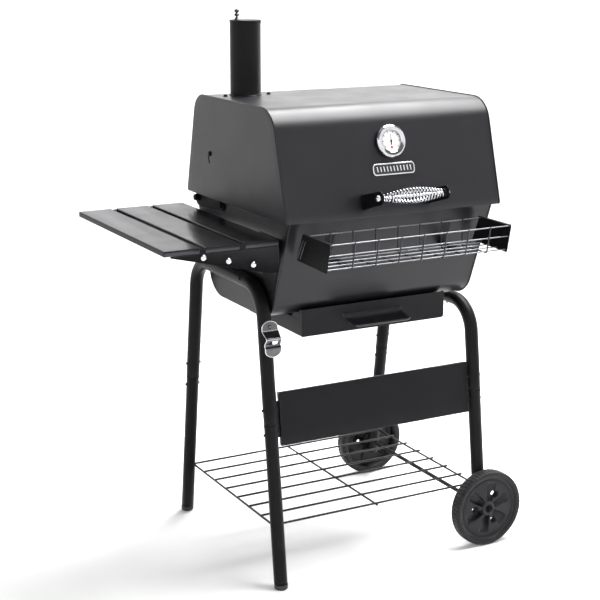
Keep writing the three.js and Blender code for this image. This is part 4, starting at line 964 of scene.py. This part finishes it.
class BuildStand(bpy.types.Operator):
    """Build the two bent tubes, the four lower tubes, their screws and the foot caps"""
    bl_idname = "grill.stand"
    bl_label = "Tube stand"

    def execute(self, context):
        tube = MATERIALS["tube"]
        for side, x, bar_z in (("left", LEFT_LEG_X, LEFT_BAR_Z), ("right", RIGHT_LEG_X, RIGHT_BAR_Z)):
            ty = leg_y(bar_z)
            flat = bent([(leg_y(SPLICE_Z), SPLICE_Z + 0.4), (ty, bar_z), (-ty, bar_z), (-leg_y(SPLICE_Z), SPLICE_Z + 0.4)],
                        [0, BEND_R, BEND_R, 0], 20)
            flat = along(flat, 30)
            path = np.column_stack([np.full(len(flat), x), flat])
            r = np.full(len(path), TUBE_R)
            r[[0, -1]] = TUBE_R - 0.5
            piece(f"bent_tube_{side}", [bar(path, r, 40, up=(1, 0, 0), dome=False)], "stand", tube,
                  [f"upper_tube_{side}"], sharp=60)
            # saddle screws through the top bar into the firebox
            for i, y in enumerate((-88.0, 88.0)):
                if side == "left":
                    at, d = (x - TUBE_R + 1.6, y, bar_z + 5), (-1, 0, 0.3)
                else:
                    at, d = (x, y, bar_z - TUBE_R + 0.4), (0, 0, -1)
                piece(f"bar_screw_{side}_{i + 1}", bolt_head(at, d, 4.6, 3.4), "stand", MATERIALS["bracket"])
        legs = (("front_left", LEFT_LEG_X, -1), ("rear_left", LEFT_LEG_X, 1), ("front_right", RIGHT_LEG_X, -1),
                ("rear_right", RIGHT_LEG_X, 1))
        for name, x, s in legs:
            left = x < 0
            low = 12.0 if left else 66.0
            z = np.array([low, low + 1.2, 120, 250, SPLICE_Z - 9, SPLICE_Z - 6.5, SPLICE_Z - 1.6, SPLICE_Z - 0.3])
            r = np.array([LOWER_R - 0.9, LOWER_R, LOWER_R, LOWER_R, LOWER_R, LOWER_R + 0.55, LOWER_R + 0.6, LOWER_R])
            path = np.column_stack([np.full(len(z), x), s * leg_y(z), z])
            piece(f"leg_{name}", [bar(path, r, 40, up=(1, 0, 0), dome=False)], "stand", tube,
                  [f"lower_tube_{name}"], sharp=60)
            # two cross screws hold each splice: heads outboard, nuts inboard
            screws = []
            for zz in (404.0, 349.0):
                rr = TUBE_R if zz > SPLICE_Z else LOWER_R
                for d in (-1, 1):
                    screws += bolt_head((x + d * (rr - 0.6), s * leg_y(zz), zz), (d, 0, 0), 4.3, 4.0)
            piece(f"splice_screws_{name}", screws, "stand", MATERIALS["bracket"])
            if left:
                y0 = s * leg_y(0)
                prof = [(0, 0), (11.6, 0), (13.6, 0.5), (14.8, 1.8), (15.3, 4), (15.35, 11.2), (14.9, 11.8), (0, 11.9)]
                piece(f"foot_cap_{name}", [turned(prof, (x, y0, 0), (0, 0, 1), 40)], "stand", MATERIALS["foot"],
                      [f"foot_{name}"], sharp=50)
                # bolt that carries the corner of the wire shelf
                y = s * (leg_y(137) + 0.0)
                piece(f"shelf_bolt_{name}", bolt_head((x + 3, y + s * (LOWER_R - 0.6), 118), (0, s, 0), 3.6, 2.6),
                      "stand", MATERIALS["bracket"])
            else:
                piece(f"tube_plug_{name}", [turned([(0, -0.2), (13, -0.2), (14.4, 0.4), (14.6, 2.2), (0, 2.4)],
                                                   (x, s * leg_y(64), 64.2), (0, -s * LEG_SLANT * -1, 1), 36)],
                      "stand", MATERIALS["foot"], sharp=50)
        return {"FINISHED"}


class BuildPanel(bpy.types.Operator):
    """Build the front panel between the legs: a pressed sheet with folded top and bottom and side tabs"""
    bl_idname = "grill.front_panel"
    bl_label = "Front panel"

    def execute(self, context):
        lo, hi = 317.7, 439.0

        def y(z):
            return -leg_y(z)

        line = bent([(y(hi) + 12, hi - 2.5), (y(hi), hi), (y(lo), lo), (y(lo) + 10, lo + 1.0)], [0, 2.6, 2.6, 0], 7)
        sheet = folded(along(line, 30), "x", -249.5, 252.8, -1.3)
        tabs = []
        for s, edge, leg in ((-1, -249.5, LEFT_LEG_X + TUBE_R + 0.4), (1, 252.8, RIGHT_LEG_X - TUBE_R - 0.4)):
            a, b = sorted((edge - s * 6.0, leg))
            strip = [(y(hi - 20) + 5, hi - 20), (y(lo + 20) + 5, lo + 20), (y(lo + 20) + 6.6, lo + 20),
                     (y(hi - 20) + 6.6, hi - 20)]
            tabs.append(prism(strip, "x", a, b))
            a, b = sorted((edge, edge - s * 1.3))
            side = [(y(hi - 3) + 0.9, hi - 3), (y(lo + 3) + 0.9, lo + 3), (y(lo + 3) + 9, lo + 3), (y(hi - 3) + 9, hi - 3)]
            tabs.append(prism(side, "x", a, b))
        piece("front_board", [sheet] + tabs, "stand", MATERIALS["panel"], ["front_panel"], bevel=0.35)
        return {"FINISHED"}


class BuildWireShelf(bpy.types.Operator):
    """Build the bottom shelf of welded wire"""
    bl_idname = "grill.wire_shelf"
    bl_label = "Wire shelf"

    def execute(self, context):
        r = context.scene.grill_sizes.shelf_wire / MM
        z, y = 133.4, 217.0
        runs = [(((x, -y - 4, z), (x, y + 4, z)), (1, 0, 0)) for x in (-270.0, -2.5, 273.0)]
        ys = -y + 2 * y * np.arange(8) / 7
        runs += [(((-270.0, v, z + 2.0 * r * 0.55), (280.0, v, z + 2.0 * r * 0.55)), (0, 0, 1)) for v in ys]
        parts = rod_net(runs, r, context.scene.grill_sizes.round_sides)
        # weld nuggets where wires cross
        for x in (-270.0, -2.5, 273.0):
            for v in ys:
                parts.append(turned([(0, -2.1), (2.4, -1.2), (3.1, 0.4), (2.4, 2.0), (0, 2.6)], (x, v, z), (0, 0, 1), 10))
        piece("bottom_shelf", parts, "stand", MATERIALS["coated_wire"], ["wire_shelf"])
        return {"FINISHED"}


def wheel_web(inner, outer, w, steps_a=252, steps_r=34):
    """The moulded outer face of a wheel as height over (angle, radius). A dished disc carries six petals that
    widen outwards; between them are wedge-shaped pits, steep on one side and sloping on the other, deepest
    near the hub. A shallow ring groove runs round outside them."""
    a = np.linspace(0, 2 * math.pi, steps_a, endpoint=False)[None]
    r = np.linspace(inner, outer, steps_r)[:, None]
    k = (r - inner) / (outer - inner)
    base = w - 8.2 + 3.0 * (1 - k) ** 2 + 1.2 * np.clip((k - 0.93) / 0.07, 0, 1)
    phase = (a / (2 * math.pi) * 6 + 0.16) % 1.0
    half = 0.36 - 0.20 * k
    across = np.clip((half - np.abs(phase - 0.5)) / 0.06, 0, 1)
    across = across * across * (3 - 2 * across)
    slope = 0.40 + 0.60 * np.clip((phase - 0.5) / half * 0.5 + 0.5, 0, 1)
    along_r = np.clip((0.80 - k) / 0.16, 0, 1) * np.clip((k - 0.01) / 0.06, 0, 1)
    depth = (12.5 * (1 - k) + 3.4) * across * slope * along_r
    groove = 1.6 * np.exp(-((k - 0.90) / 0.018) ** 2)
    face = base - depth - groove
    for b in np.radians([58, 178, 298]):
        d = np.hypot(r * np.cos(a) - 37 * math.cos(b), r * np.sin(a) - 37 * math.sin(b))
        seat = np.clip((9.0 - d) / 3.0, 0, 1)
        face = face * (1 - seat) + 13.5 * seat
    return a, r, face


class BuildWheels(bpy.types.Operator):
    """Build the axle, the two moulded wheels with their blocked treads, and the axle nuts"""
    bl_idname = "grill.wheels"
    bl_label = "Wheels"

    def execute(self, context):
        R, X, in_y, w = 92.0, 273.0, 253.5, 32.0
        blocks = context.scene.grill_sizes.tread_blocks
        end = in_y + w - 7
        piece("wheel_axle", [bar(np.array([(X, -end, R), (X, end, R)]), 5.0, 32, up=(1, 0, 0), dome=False)], "stand",
              MATERIALS["bracket"], ["axle"])
        for name, s in (("front", -1), ("rear", 1)):
            steps = blocks * 6
            a = np.linspace(0, 2 * math.pi, steps, endpoint=False)
            # rim and tread: a section of (radius, depth); the tread's crown carries shallow blocks
            sec = np.array([(71, 13), (72.5, 9), (74, 3.4), (77, 0.9), (85.5, 0.2), (89.0, 1.0), (90.8, 3.2), (91.8, 6.0),
                            (92.0, 9), (92.0, 12), (92.0, w / 2), (92.0, w - 12), (92.0, w - 8), (91.8, w - 5.0), (91.0, w - 2.6),
                            (89.0, w - 1.0), (86.5, w - 0.4), (83.0, w - 0.8), (80.6, w - 1.8), (78.8, w - 3.4), (77.6, w - 5.6),
                            (77.0, w - 7.6)])
            wave = np.clip(np.sin(a * blocks) * 3, -1, 1)
            on_tread = np.clip((sec[:, 0] - 90.2) / 1.2, 0, 1)
            left_half = np.where(sec[:, 1] < w / 2, 1.0, -1.0)
            drop = 1.5 * on_tread[:, None] * np.clip(wave[None] * left_half[:, None], 0, 1)
            rr = sec[:, :1] - drop
            ring = np.stack([X + rr * np.cos(a)[None], s * (in_y + sec[:, 1:] + 0 * a[None]), R + rr * np.sin(a)[None]], -1)
            rim = (ring.reshape(-1, 3), grid_faces(len(sec), steps, wrap_cols=True))
            # web: outer face from the height function, inner face flat, closed at the hub bore and the rim
            aa, r, h = wheel_web(17.0, 77.2, w)
            outer = np.stack([X + r * np.cos(aa), s * (in_y + h), R + r * np.sin(aa)], -1)
            inner = np.stack([X + r * np.cos(aa), s * (in_y + h - 2.6), R + r * np.sin(aa)], -1)[::-1]
            web = (np.concatenate([outer, inner]).reshape(-1, 3), grid_faces(2 * len(r), aa.shape[1], wrap_rows=True,
                                                                             wrap_cols=True))
            holes = [drill((X + 37 * math.cos(b), s * (in_y + w / 2), R + 37 * math.sin(b)), (0, 1, 0), 5.2, 40, 24)
                     for b in np.radians([58, 178, 298])]
            parts = [rim] + with_holes([web], holes)
            hub = [(5.2, 11.5), (16, 11.5), (18, 13), (18.4, w - 8), (17.6, w - 4.4), (16.4, w - 3.2), (9.5, w - 3.0), (9.0, w - 3.6),
                   (5.2, w - 3.6),
                   (5.2, 11.5)]
            parts.append(turned(hub, (X, s * in_y, R), (0, s, 0), 48))
            rim_back = turned([(73.8, 4.0), (78.2, 4.0), (78.2, w - 6.0), (76.0, w - 7.0), (73.8, w - 11.0),
                               (73.8, 4.0)], (X, s * in_y, R), (0, s, 0), 96)
            parts.append(rim_back)
            piece(f"moulded_wheel_{name}", parts, f"wheel_{name}", MATERIALS["wheel"], [f"wheel_{name}"],
                  sharp=42)
            nut = [(0, 0.3), (9.2, 0.3), (9.4, 1.2), (8.2, 3.2), (5.8, 4.4), (5.4, 6.8), (3.0, 7.6), (0, 7.7)]
            piece(f"push_nut_{name}", [turned(nut, (X, s * (in_y + w - 3 + 0.1), R), (0, s, 0), 36)], f"wheel_{name}",
                  MATERIALS["bracket"], [f"wheel_nut_{name}"], sharp=45)
        return {"FINISHED"}


class BuildSideShelf(bpy.types.Operator):
    """Build the three folded slats, their brackets and the tool pegs"""
    bl_idname = "grill.side_shelf"
    bl_label = "Side shelf"

    def execute(self, context):
        z1, t = 796.2, 12.0
        y0, y1 = -258.4, 240.5
        for i, (x0, x1) in enumerate(((-540, -460.7), (-448.5, -368.7), (-357.3, -278.5))):
            # cross-section of a board folded down at both long sides and in again under it
            line = bent([(x0 + 7, z1 - t), (x0, z1 - t), (x0, z1), (x1, z1), (x1, z1 - t), (x1 - 7, z1 - t)],
                        [0, 1.6, 2.6, 2.6, 1.6, 0], 7)
            board = folded(along(line, 40), "y", y0 + 0.6, y1 - 0.6, 1.2)
            ends = []
            for y, s in ((y0, 1), (y1, -1)):
                face = bent([(x0 + 1.2, z1 - t + 0.3), (x0 + 1.2, z1 - 0.9), (x1 - 1.2, z1 - 0.9),
                             (x1 - 1.2, z1 - t + 0.3)], [0, 2.0, 2.0, 0], 6)
                lo, hi = sorted((y, y + s * 1.3))
                ends.append(prism(face, "y", lo, hi))
            piece(f"slat_{i + 1}", [board] + ends, "stand", MATERIALS["slat"], [f"shelf_slat_{i + 1}"],
                  bevel=0.5, segments=3)
        under = z1 - t - 0.35
        for side, face, s in (("front", y0 - 1, 1), ("rear", y1 + 1, -1)):
            def y(a, b):
                return tuple(sorted((face + s * a, face + s * b)))
            web = bent([(-527, under), (-525, under - 3), (-296, 726.2), (-279, 727), (-279, under)], [0, 2, 10, 2, 0], 8)
            parts = [prism(web, "y", *y(0, 2)), block((-520, -279), y(0, 16), (under - 2, under)),
                     block((-281, -279), y(0, 60), (748, under)), block((-281, BOX_LEFT - 0.35), y(58, 60), (748, under)),
                     block((BOX_LEFT - 2.35, BOX_LEFT - 0.35), y(58, 92), (748, under))]
            # upstands of the web close the gaps between the slats
            for x0, x1 in ((-460.3, -448.9), (-368.3, -357.7)):
                parts.append(block((x0, x1), y(1.2, 2.8), (under - 1, 794.0)))
            # rolled lower edge of the web
            edge = np.array([(-520, face + s * 1.0, 781.0), (-300, face + s * 1.0, 727.6)])
            parts.append(bar(edge, 1.25, 10))
            piece(f"shelf_web_{side}", parts, "stand", MATERIALS["bracket"],
                  [f"shelf_bracket_{side}"], bevel=0.3)
            if side == "front":
                # a thin black plate lies flat on the firebox's left end, from below the front bracket down towards the
                # tube, blacking out that corner
                flange = [(-241, 788), (-239, 780), (-197, 668), (-192, 660), (-180, 660), (-128, 716), (-128, 788)]
                piece("shelf_corner_black_plate", [prism(flange, "x", BOX_LEFT - 1.9, BOX_LEFT - 0.3)], "stand", MATERIALS["bracket"],
                      bevel=0.3)
            heads = []
            for x in (-500, -408, -318):
                heads.append(dome_head((x, face + s * 8, under - 2), (0, 0, -1), 4.2, 2.4))
            piece(f"slat_rivets_{side}", heads, "stand", MATERIALS["bracket"])
        for i, (x, z) in enumerate(((-454.6, 776.2), (-398, 763.5), (-341.2, 750.2))):
            peg = [(0, 0.35), (3.0, 0.35), (3.0, 1.8), (5.7, 2.1), (6.4, 3.0), (6.4, 4.4), (5.8, 5.7), (3.8, 6.6), (0, 6.9)]
            piece(f"hook_peg_{i + 1}", [turned(peg, (x, y0 - 1, z), (0, -1, 0), 40)], "stand", MATERIALS["bright"],
                  [f"tool_peg_{i + 1}"], sharp=50)
        return {"FINISHED"}


class BuildBasket(bpy.types.Operator):
    """Build the basket: two plate ends, welded wires between them, and the brackets it sits on"""
    bl_idname = "grill.basket"
    bl_label = "Basket"

    def execute(self, context):
        r = context.scene.grill_sizes.basket_wire / MM
        half, top, bottom = 228.0, 804.0, 743.7
        back_top, back_low, front, front_low = -268.0, -241.5, -386.0, -373.0
        outline = bent([(back_top, top), (back_low, bottom), (front_low, bottom - 4), (front, top), (back_top, top)],
                       [0, 4, 4, 3, 0], 5)[:-1]
        for side, s in (("left", -1), ("right", 1)):
            x = s * half
            lo, hi = sorted((x, x - s * 1.3))
            parts = [prism(outline, "x", lo, hi)]
            # top edge turned inwards as a narrow flange
            lo, hi = sorted((x, x - s * 7.0))
            parts.append(block((lo, hi), (front + 1.5, back_top - 0.5), (top - 1.3, top)))
            piece(f"basket_plate_{side}", parts, "basket", MATERIALS["bracket"],
                  [f"basket_end_{side}"], bevel=0.35)
            # painted highlight: two thin bright plated bars lie against the plate near its back edge, standing in for
            # the lit edges of a narrow strip there
            legs = []
            for off in (8.5, 19.0):
                a = np.array([(x + s * 1.0, back_top - off - 1.0 + 4.0, top - 12),
                              (x + s * 1.0, back_low - off + 1.0, bottom + 5)])
                legs.append(bar(a, 0.6, 8, up=(1, 0, 0)))
            piece(f"basket_edge_highlight_{side}", legs, "basket", MATERIALS["wire"])
        x0, x1 = -half + 1.9, half - 1.9

        def front_at(z):
            return front + (top - z) / (top - bottom) * (front_low - front) + 3

        long_wires = [(((x0, front_at(top - d), top - d), (x1, front_at(top - d), top - d)), (0, 0, 1)) for d in (3, 27)]
        long_wires += [(((x0, -279.0 + 2.4, top - 3), (x1, -279.0 + 2.4, top - 3)), (0, 0, 1))]
        long_wires += [(((x0, y, bottom + 2.6), (x1, y, bottom + 2.6)), (0, 0, 1))
                       for y in np.linspace(front_low + 4, -252.0, 5)]
        cross = []
        for i in range(7):
            x = 3.4 + (i - 3) * 56.7
            flat = bent([(front_at(top - 1.5) - 1.6, top - 1.4), (front_at(bottom + 2) - 1.6, bottom + 0.2),
                         (-279.0, bottom + 0.2),
                         (-279.0, top - 1.5)], [0, 6, 6, 0], 9)
            cross.append((np.column_stack([np.full(len(flat), x), flat]), (1, 0, 0)))
        piece("basket_grid", rod_net(long_wires, r * 0.66, 10), "basket", MATERIALS["wire"], ["basket_wires"])
        # the hoops take the darker copy of the plated wire: painted shade
        piece("basket_hoops", rod_net(cross, r * 0.9, 10), "basket", MATERIALS["dark_wire"])

        def wall(z):
            return -176 + (z - 599) / 236 * -90.5 - 0.35

        for side, x in (("left", -150), ("right", 150)):
            z = bottom - 2
            line = bent([(wall(800), 800), (wall(z - 1), z - 1), (-300, z - 1)], [0, 2.0, 0], 6)
            piece(f"basket_rest_{side}", [folded(along(line, 20), "x", x - 12, x + 12, -1.5)], "stand", MATERIALS["panel"],
                  [f"basket_bracket_{side}"], bevel=0.3)
        return {"FINISHED"}


class BuildOpener(bpy.types.Operator):
    """Build the bent steel bottle opener on the front left leg"""
    bl_idname = "grill.opener"
    bl_label = "Bottle opener"

    def execute(self, context):
        top, cx = 602.8, LEFT_LEG_X + 5.0
        # the strip's centre line as (distance down, distance out of the leg), and its half width along it
        flat = bent([(0, 1.4), (20.5, 1.4), (36.3, 20), (50, 9), (57, 13), (76, 10)], [0, 4, 5, 5, 5, 0], 7)
        flat = along(flat, 2.0)
        seg = np.concatenate([[0], np.cumsum(np.linalg.norm(np.diff(flat, axis=0), axis=1))])
        k = seg / seg[-1]
        half_w = 19.0 * np.ones_like(k)
        head = np.clip(k / 0.17, 0, 1)
        tail = np.clip((1 - k) / 0.17, 0, 1)
        half_w *= np.sqrt(np.clip(1 - (1 - head) ** 2, 0.02, 1)) * np.sqrt(np.clip(1 - (1 - tail) ** 2, 0.02, 1))
        half_w *= 1 - 0.10 * np.exp(-((k - 0.45) / 0.12) ** 2)
        u = np.linspace(-1, 1, 25)
        down, out = flat[:, 0], flat[:, 1]
        z = top - down
        y = -leg_y(z) - TUBE_R - out + 0.6
        grid = np.empty((len(k), len(u), 3))
        grid[..., 0] = cx + u[None] * half_w[:, None]
        grid[..., 1] = y[:, None]
        grid[..., 2] = z[:, None]
        up = np.stack([np.zeros_like(k), -np.gradient(z), np.gradient(y)], 1)
        up /= np.linalg.norm(up, axis=1)[:, None]
        lower = grid + up[:, None] * 1.9
        both = np.concatenate([grid, lower[:, ::-1]], 1)
        n = 2 * len(u)
        faces = [list(f) for f in grid_faces(len(k), n, wrap_cols=True)]
        faces += [list(range(n - 1, -1, -1)), list(range((len(k) - 1) * n, len(k) * n))]
        slab = (both.reshape(-1, 3), faces)
        window = prism(rounded_rect(22, 9, 4) + np.array([cx + 1, top - 44.5]), "y", -280, -150)
        parts = with_holes([slab], [window])
        # the strip's faces take the darkened chrome: painted shade
        piece("opener_strip", parts, "stand", MATERIALS["smoked"], ["bottle_opener"], sharp=40)
        # painted highlight: bright steel bars run round the rounded sheared edge and across the two outer bends,
        # standing in for the light those edges and bends catch
        off = up[:, None] * 0.95
        rim = np.concatenate([(grid[:, :1] + off)[:, 0], (grid[:, -1:] + off)[::-1, 0]])
        edges = [bar(rim, 1.15, 8, up=(0.03, -1, 0.02), closed=True)]
        for d in (20.5, 36.3):
            i = int(np.argmin(np.abs(down - d)))
            edges.append(bar(grid[i, [1, -2]] - up[i] * 0.1, 0.9, 8, up=(0, 0, 1)))
        piece("opener_edge_highlight", edges, "stand", MATERIALS["bright"])
        screw_z = top - 12
        screw = dome_head((cx, -leg_y(screw_z) - TUBE_R - 1.0, screw_z), (0, -1, -LEG_SLANT), 4.4, 2.8)
        piece("opener_screw_1", [screw], "stand", MATERIALS["smoked"])
        return {"FINISHED"}


# ---- stage ----------------------------------------------------------------------------------------

class BuildStage(bpy.types.Operator):
    """Build the pale floor and surround, the soft lights and the camera"""
    bl_idname = "grill.stage"
    bl_label = "Stage"

    def execute(self, context):
        st = context.scene.grill_stage
        scene = context.scene
        m, t, out = new_material("pale_paper_sweep")
        tc = node(t, "ShaderNodeTexCoord")
        fibre = node(t, "ShaderNodeTexNoise", values={"Scale": 3.0, "Detail": 2.0}, links={"Vector": tc.outputs["Object"]})
        tone = node(t, "ShaderNodeMixRGB", values={"Color1": linear("#f3f3f3"), "Color2": linear("#f7f7f7")},
                    links={"Fac": fibre.outputs["Fac"]})
        paper = node(t, "ShaderNodeBsdfPrincipled", values={"Roughness": 0.9, "Specular IOR Level": 0.1},
                     links={"Base Color": tone.outputs[0]})
        # painted light: the sweep's paper glows, not at all near the middle, more further out and more strongly higher
        # up the wall, as if lit from behind; the floor near the grill does not glow
        split = node(t, "ShaderNodeSeparateXYZ", links={0: tc.outputs["Object"]})
        flat = node(t, "ShaderNodeVectorMath", {"operation": "MULTIPLY"}, {0: tc.outputs["Object"]})
        flat.inputs[1].default_value = (1, 1, 0)
        far = node(t, "ShaderNodeVectorMath", {"operation": "LENGTH"}, {0: flat.outputs[0]})
        near = node(t, "ShaderNodeMapRange", {"interpolation_type": "SMOOTHSTEP"}, {"Value": far.outputs["Value"]},
                    {"From Min": 1.6, "From Max": 5.6, "To Min": 0.0, "To Max": 0.5})
        rise = node(t, "ShaderNodeMapRange", links={"Value": split.outputs["Z"]},
                    values={"From Min": 0.6, "From Max": 4.2, "To Min": 0.0, "To Max": 0.25})
        glow = node(t, "ShaderNodeMath", {"operation": "ADD"}, {0: near.outputs[0], 1: rise.outputs[0]})
        t.links.new(glow.outputs[0], paper.inputs["Emission Strength"])
        paper.inputs["Emission Color"].default_value = (1, 1, 1, 1)
        t.links.new(paper.outputs[0], out.inputs[0])
        # sweep: a round floor that curls up into a wall far behind and all round
        prof = [(0, 0), (3.0, 0), (5.0, 0.0)]
        a = np.linspace(0, math.pi / 2, 10)[1:]
        prof += [(5.0 + 2.0 * math.sin(v), 2.0 * (1 - math.cos(v))) for v in a]
        prof += [(7.0, 4.2)]
        v, f = turned(np.array(prof), (0, 0, 0), (0, 0, 1), 64)
        mesh = bpy.data.meshes.new("sweep")
        mesh.from_pydata(v.tolist(), [], [[int(i) for i in q] for q in f])
        bm = bmesh.new()
        bm.from_mesh(mesh)
        bmesh.ops.remove_doubles(bm, verts=bm.verts, dist=1e-5)
        bm.to_mesh(mesh)
        bm.free()
        mesh.shade_smooth()
        mesh.materials.append(m)
        floor = bpy.data.objects.new("sweep", mesh)
        scene.collection.objects.link(floor)

        world = bpy.data.worlds.new("white_room")
        world.use_nodes = True
        scene.world = world
        bg = world.node_tree.nodes["Background"]
        bg.inputs[0].default_value = (1, 1, 1, 1)
        bg.inputs[1].default_value = st.sky
        scene.view_settings.view_transform = "Standard"

        def area(name, at, to, size, radiance):
            """A rectangular soft box with the given brightness of its face, in the white of the surround."""
            lamp = bpy.data.lights.new(name, "AREA")
            lamp.shape = "RECTANGLE"
            lamp.size, lamp.size_y = size
            lamp.energy = radiance * math.pi * size[0] * size[1]
            obj = bpy.data.objects.new(name, lamp)
            scene.collection.objects.link(obj)
            obj.location = at
            obj.rotation_euler = (Vector(to) - Vector(at)).to_track_quat("-Z", "Y").to_euler()
            return obj

        area("overhead_box", (0.0, 0.2, 3.6), (0, 0, 0.6), (3.0, 3.0), st.overhead)
        area("high_right_box", (0.95, 0.0, 2.85), (0.1, -0.1, 1.0), (2.3, 1.35), st.high_right)
        area("right_box", (2.6, 0.6, 1.3), (0, 0, 0.9), (1.2, 2.2), st.right)
        area("rear_box", (1.6, 3.2, 2.7), (0, 0, 0.9), (4.2, 2.2), st.rear)
        area("front_box", (-1.2, -3.8, 3.0), (0, 0, 0.6), (2.6, 1.6), st.front)

        cam = bpy.data.cameras.new("camera")
        cam.lens = st.lens
        cam.sensor_width = 36.0
        cam.dof.use_dof = False
        cam.clip_end = 50
        obj = bpy.data.objects.new("camera", cam)
        scene.collection.objects.link(obj)
        eye = np.array([-1603.23, -2792.84, 1389.16]) * MM + ZERO
        fwd = np.array([0.46230278, 0.85214309, -0.2452107])
        right = np.array([0.87897847, -0.47686146, 0.0])
        up = np.cross(right, fwd)
        roll = 0.00206
        r2 = right * math.cos(roll) + up * math.sin(roll)
        u2 = -right * math.sin(roll) + up * math.cos(roll)
        m4 = Matrix(((r2[0], u2[0], -fwd[0], eye[0]), (r2[1], u2[1], -fwd[1], eye[1]), (r2[2], u2[2], -fwd[2], eye[2]),
                     (0, 0, 0, 1)))
        obj.matrix_world = m4
        scene.camera = obj
        return {"FINISHED"}


BUILDERS = (BuildLid, BuildChimney, BuildThermometer, BuildBadge, BuildHandle, BuildFirebox, BuildHinges, BuildGrates,
            BuildDrawer, BuildStand, BuildPanel, BuildWireShelf, BuildWheels, BuildSideShelf, BuildBasket, BuildOpener,
            BuildStage)


class GrillPanel(bpy.types.Panel):
    """Lists the grill's pieces and its settings"""
    bl_idname = "VIEW3D_PT_grill"
    bl_label = "Barrel grill"
    bl_space_type = "VIEW_3D"
    bl_region_type = "UI"
    bl_category = "Grill"

    def draw(self, context):
        for group in (context.scene.grill_sizes, context.scene.grill_colours, context.scene.grill_stage):
            for key in group.bl_rna.properties.keys():
                if key not in ("rna_type", "name"):
                    self.layout.prop(group, key)
        for op in BUILDERS:
            self.layout.operator(op.bl_idname)


CLASSES = (GrillSizes, GrillColours, GrillStage) + BUILDERS + (GrillPanel,)


def register():
    for c in CLASSES:
        bpy.utils.register_class(c)
    bpy.types.Scene.grill_sizes = bpy.props.PointerProperty(type=GrillSizes)
    bpy.types.Scene.grill_colours = bpy.props.PointerProperty(type=GrillColours)
    bpy.types.Scene.grill_stage = bpy.props.PointerProperty(type=GrillStage)


def unregister():
    del bpy.types.Scene.grill_stage
    del bpy.types.Scene.grill_colours
    del bpy.types.Scene.grill_sizes
    for c in reversed(CLASSES):
        bpy.utils.unregister_class(c)


def main():
    register()
    make_materials()
    for op in BUILDERS:
        group, name = op.bl_idname.split(".")
        getattr(getattr(bpy.ops, group), name)()


if __name__ == "__main__":
    main()
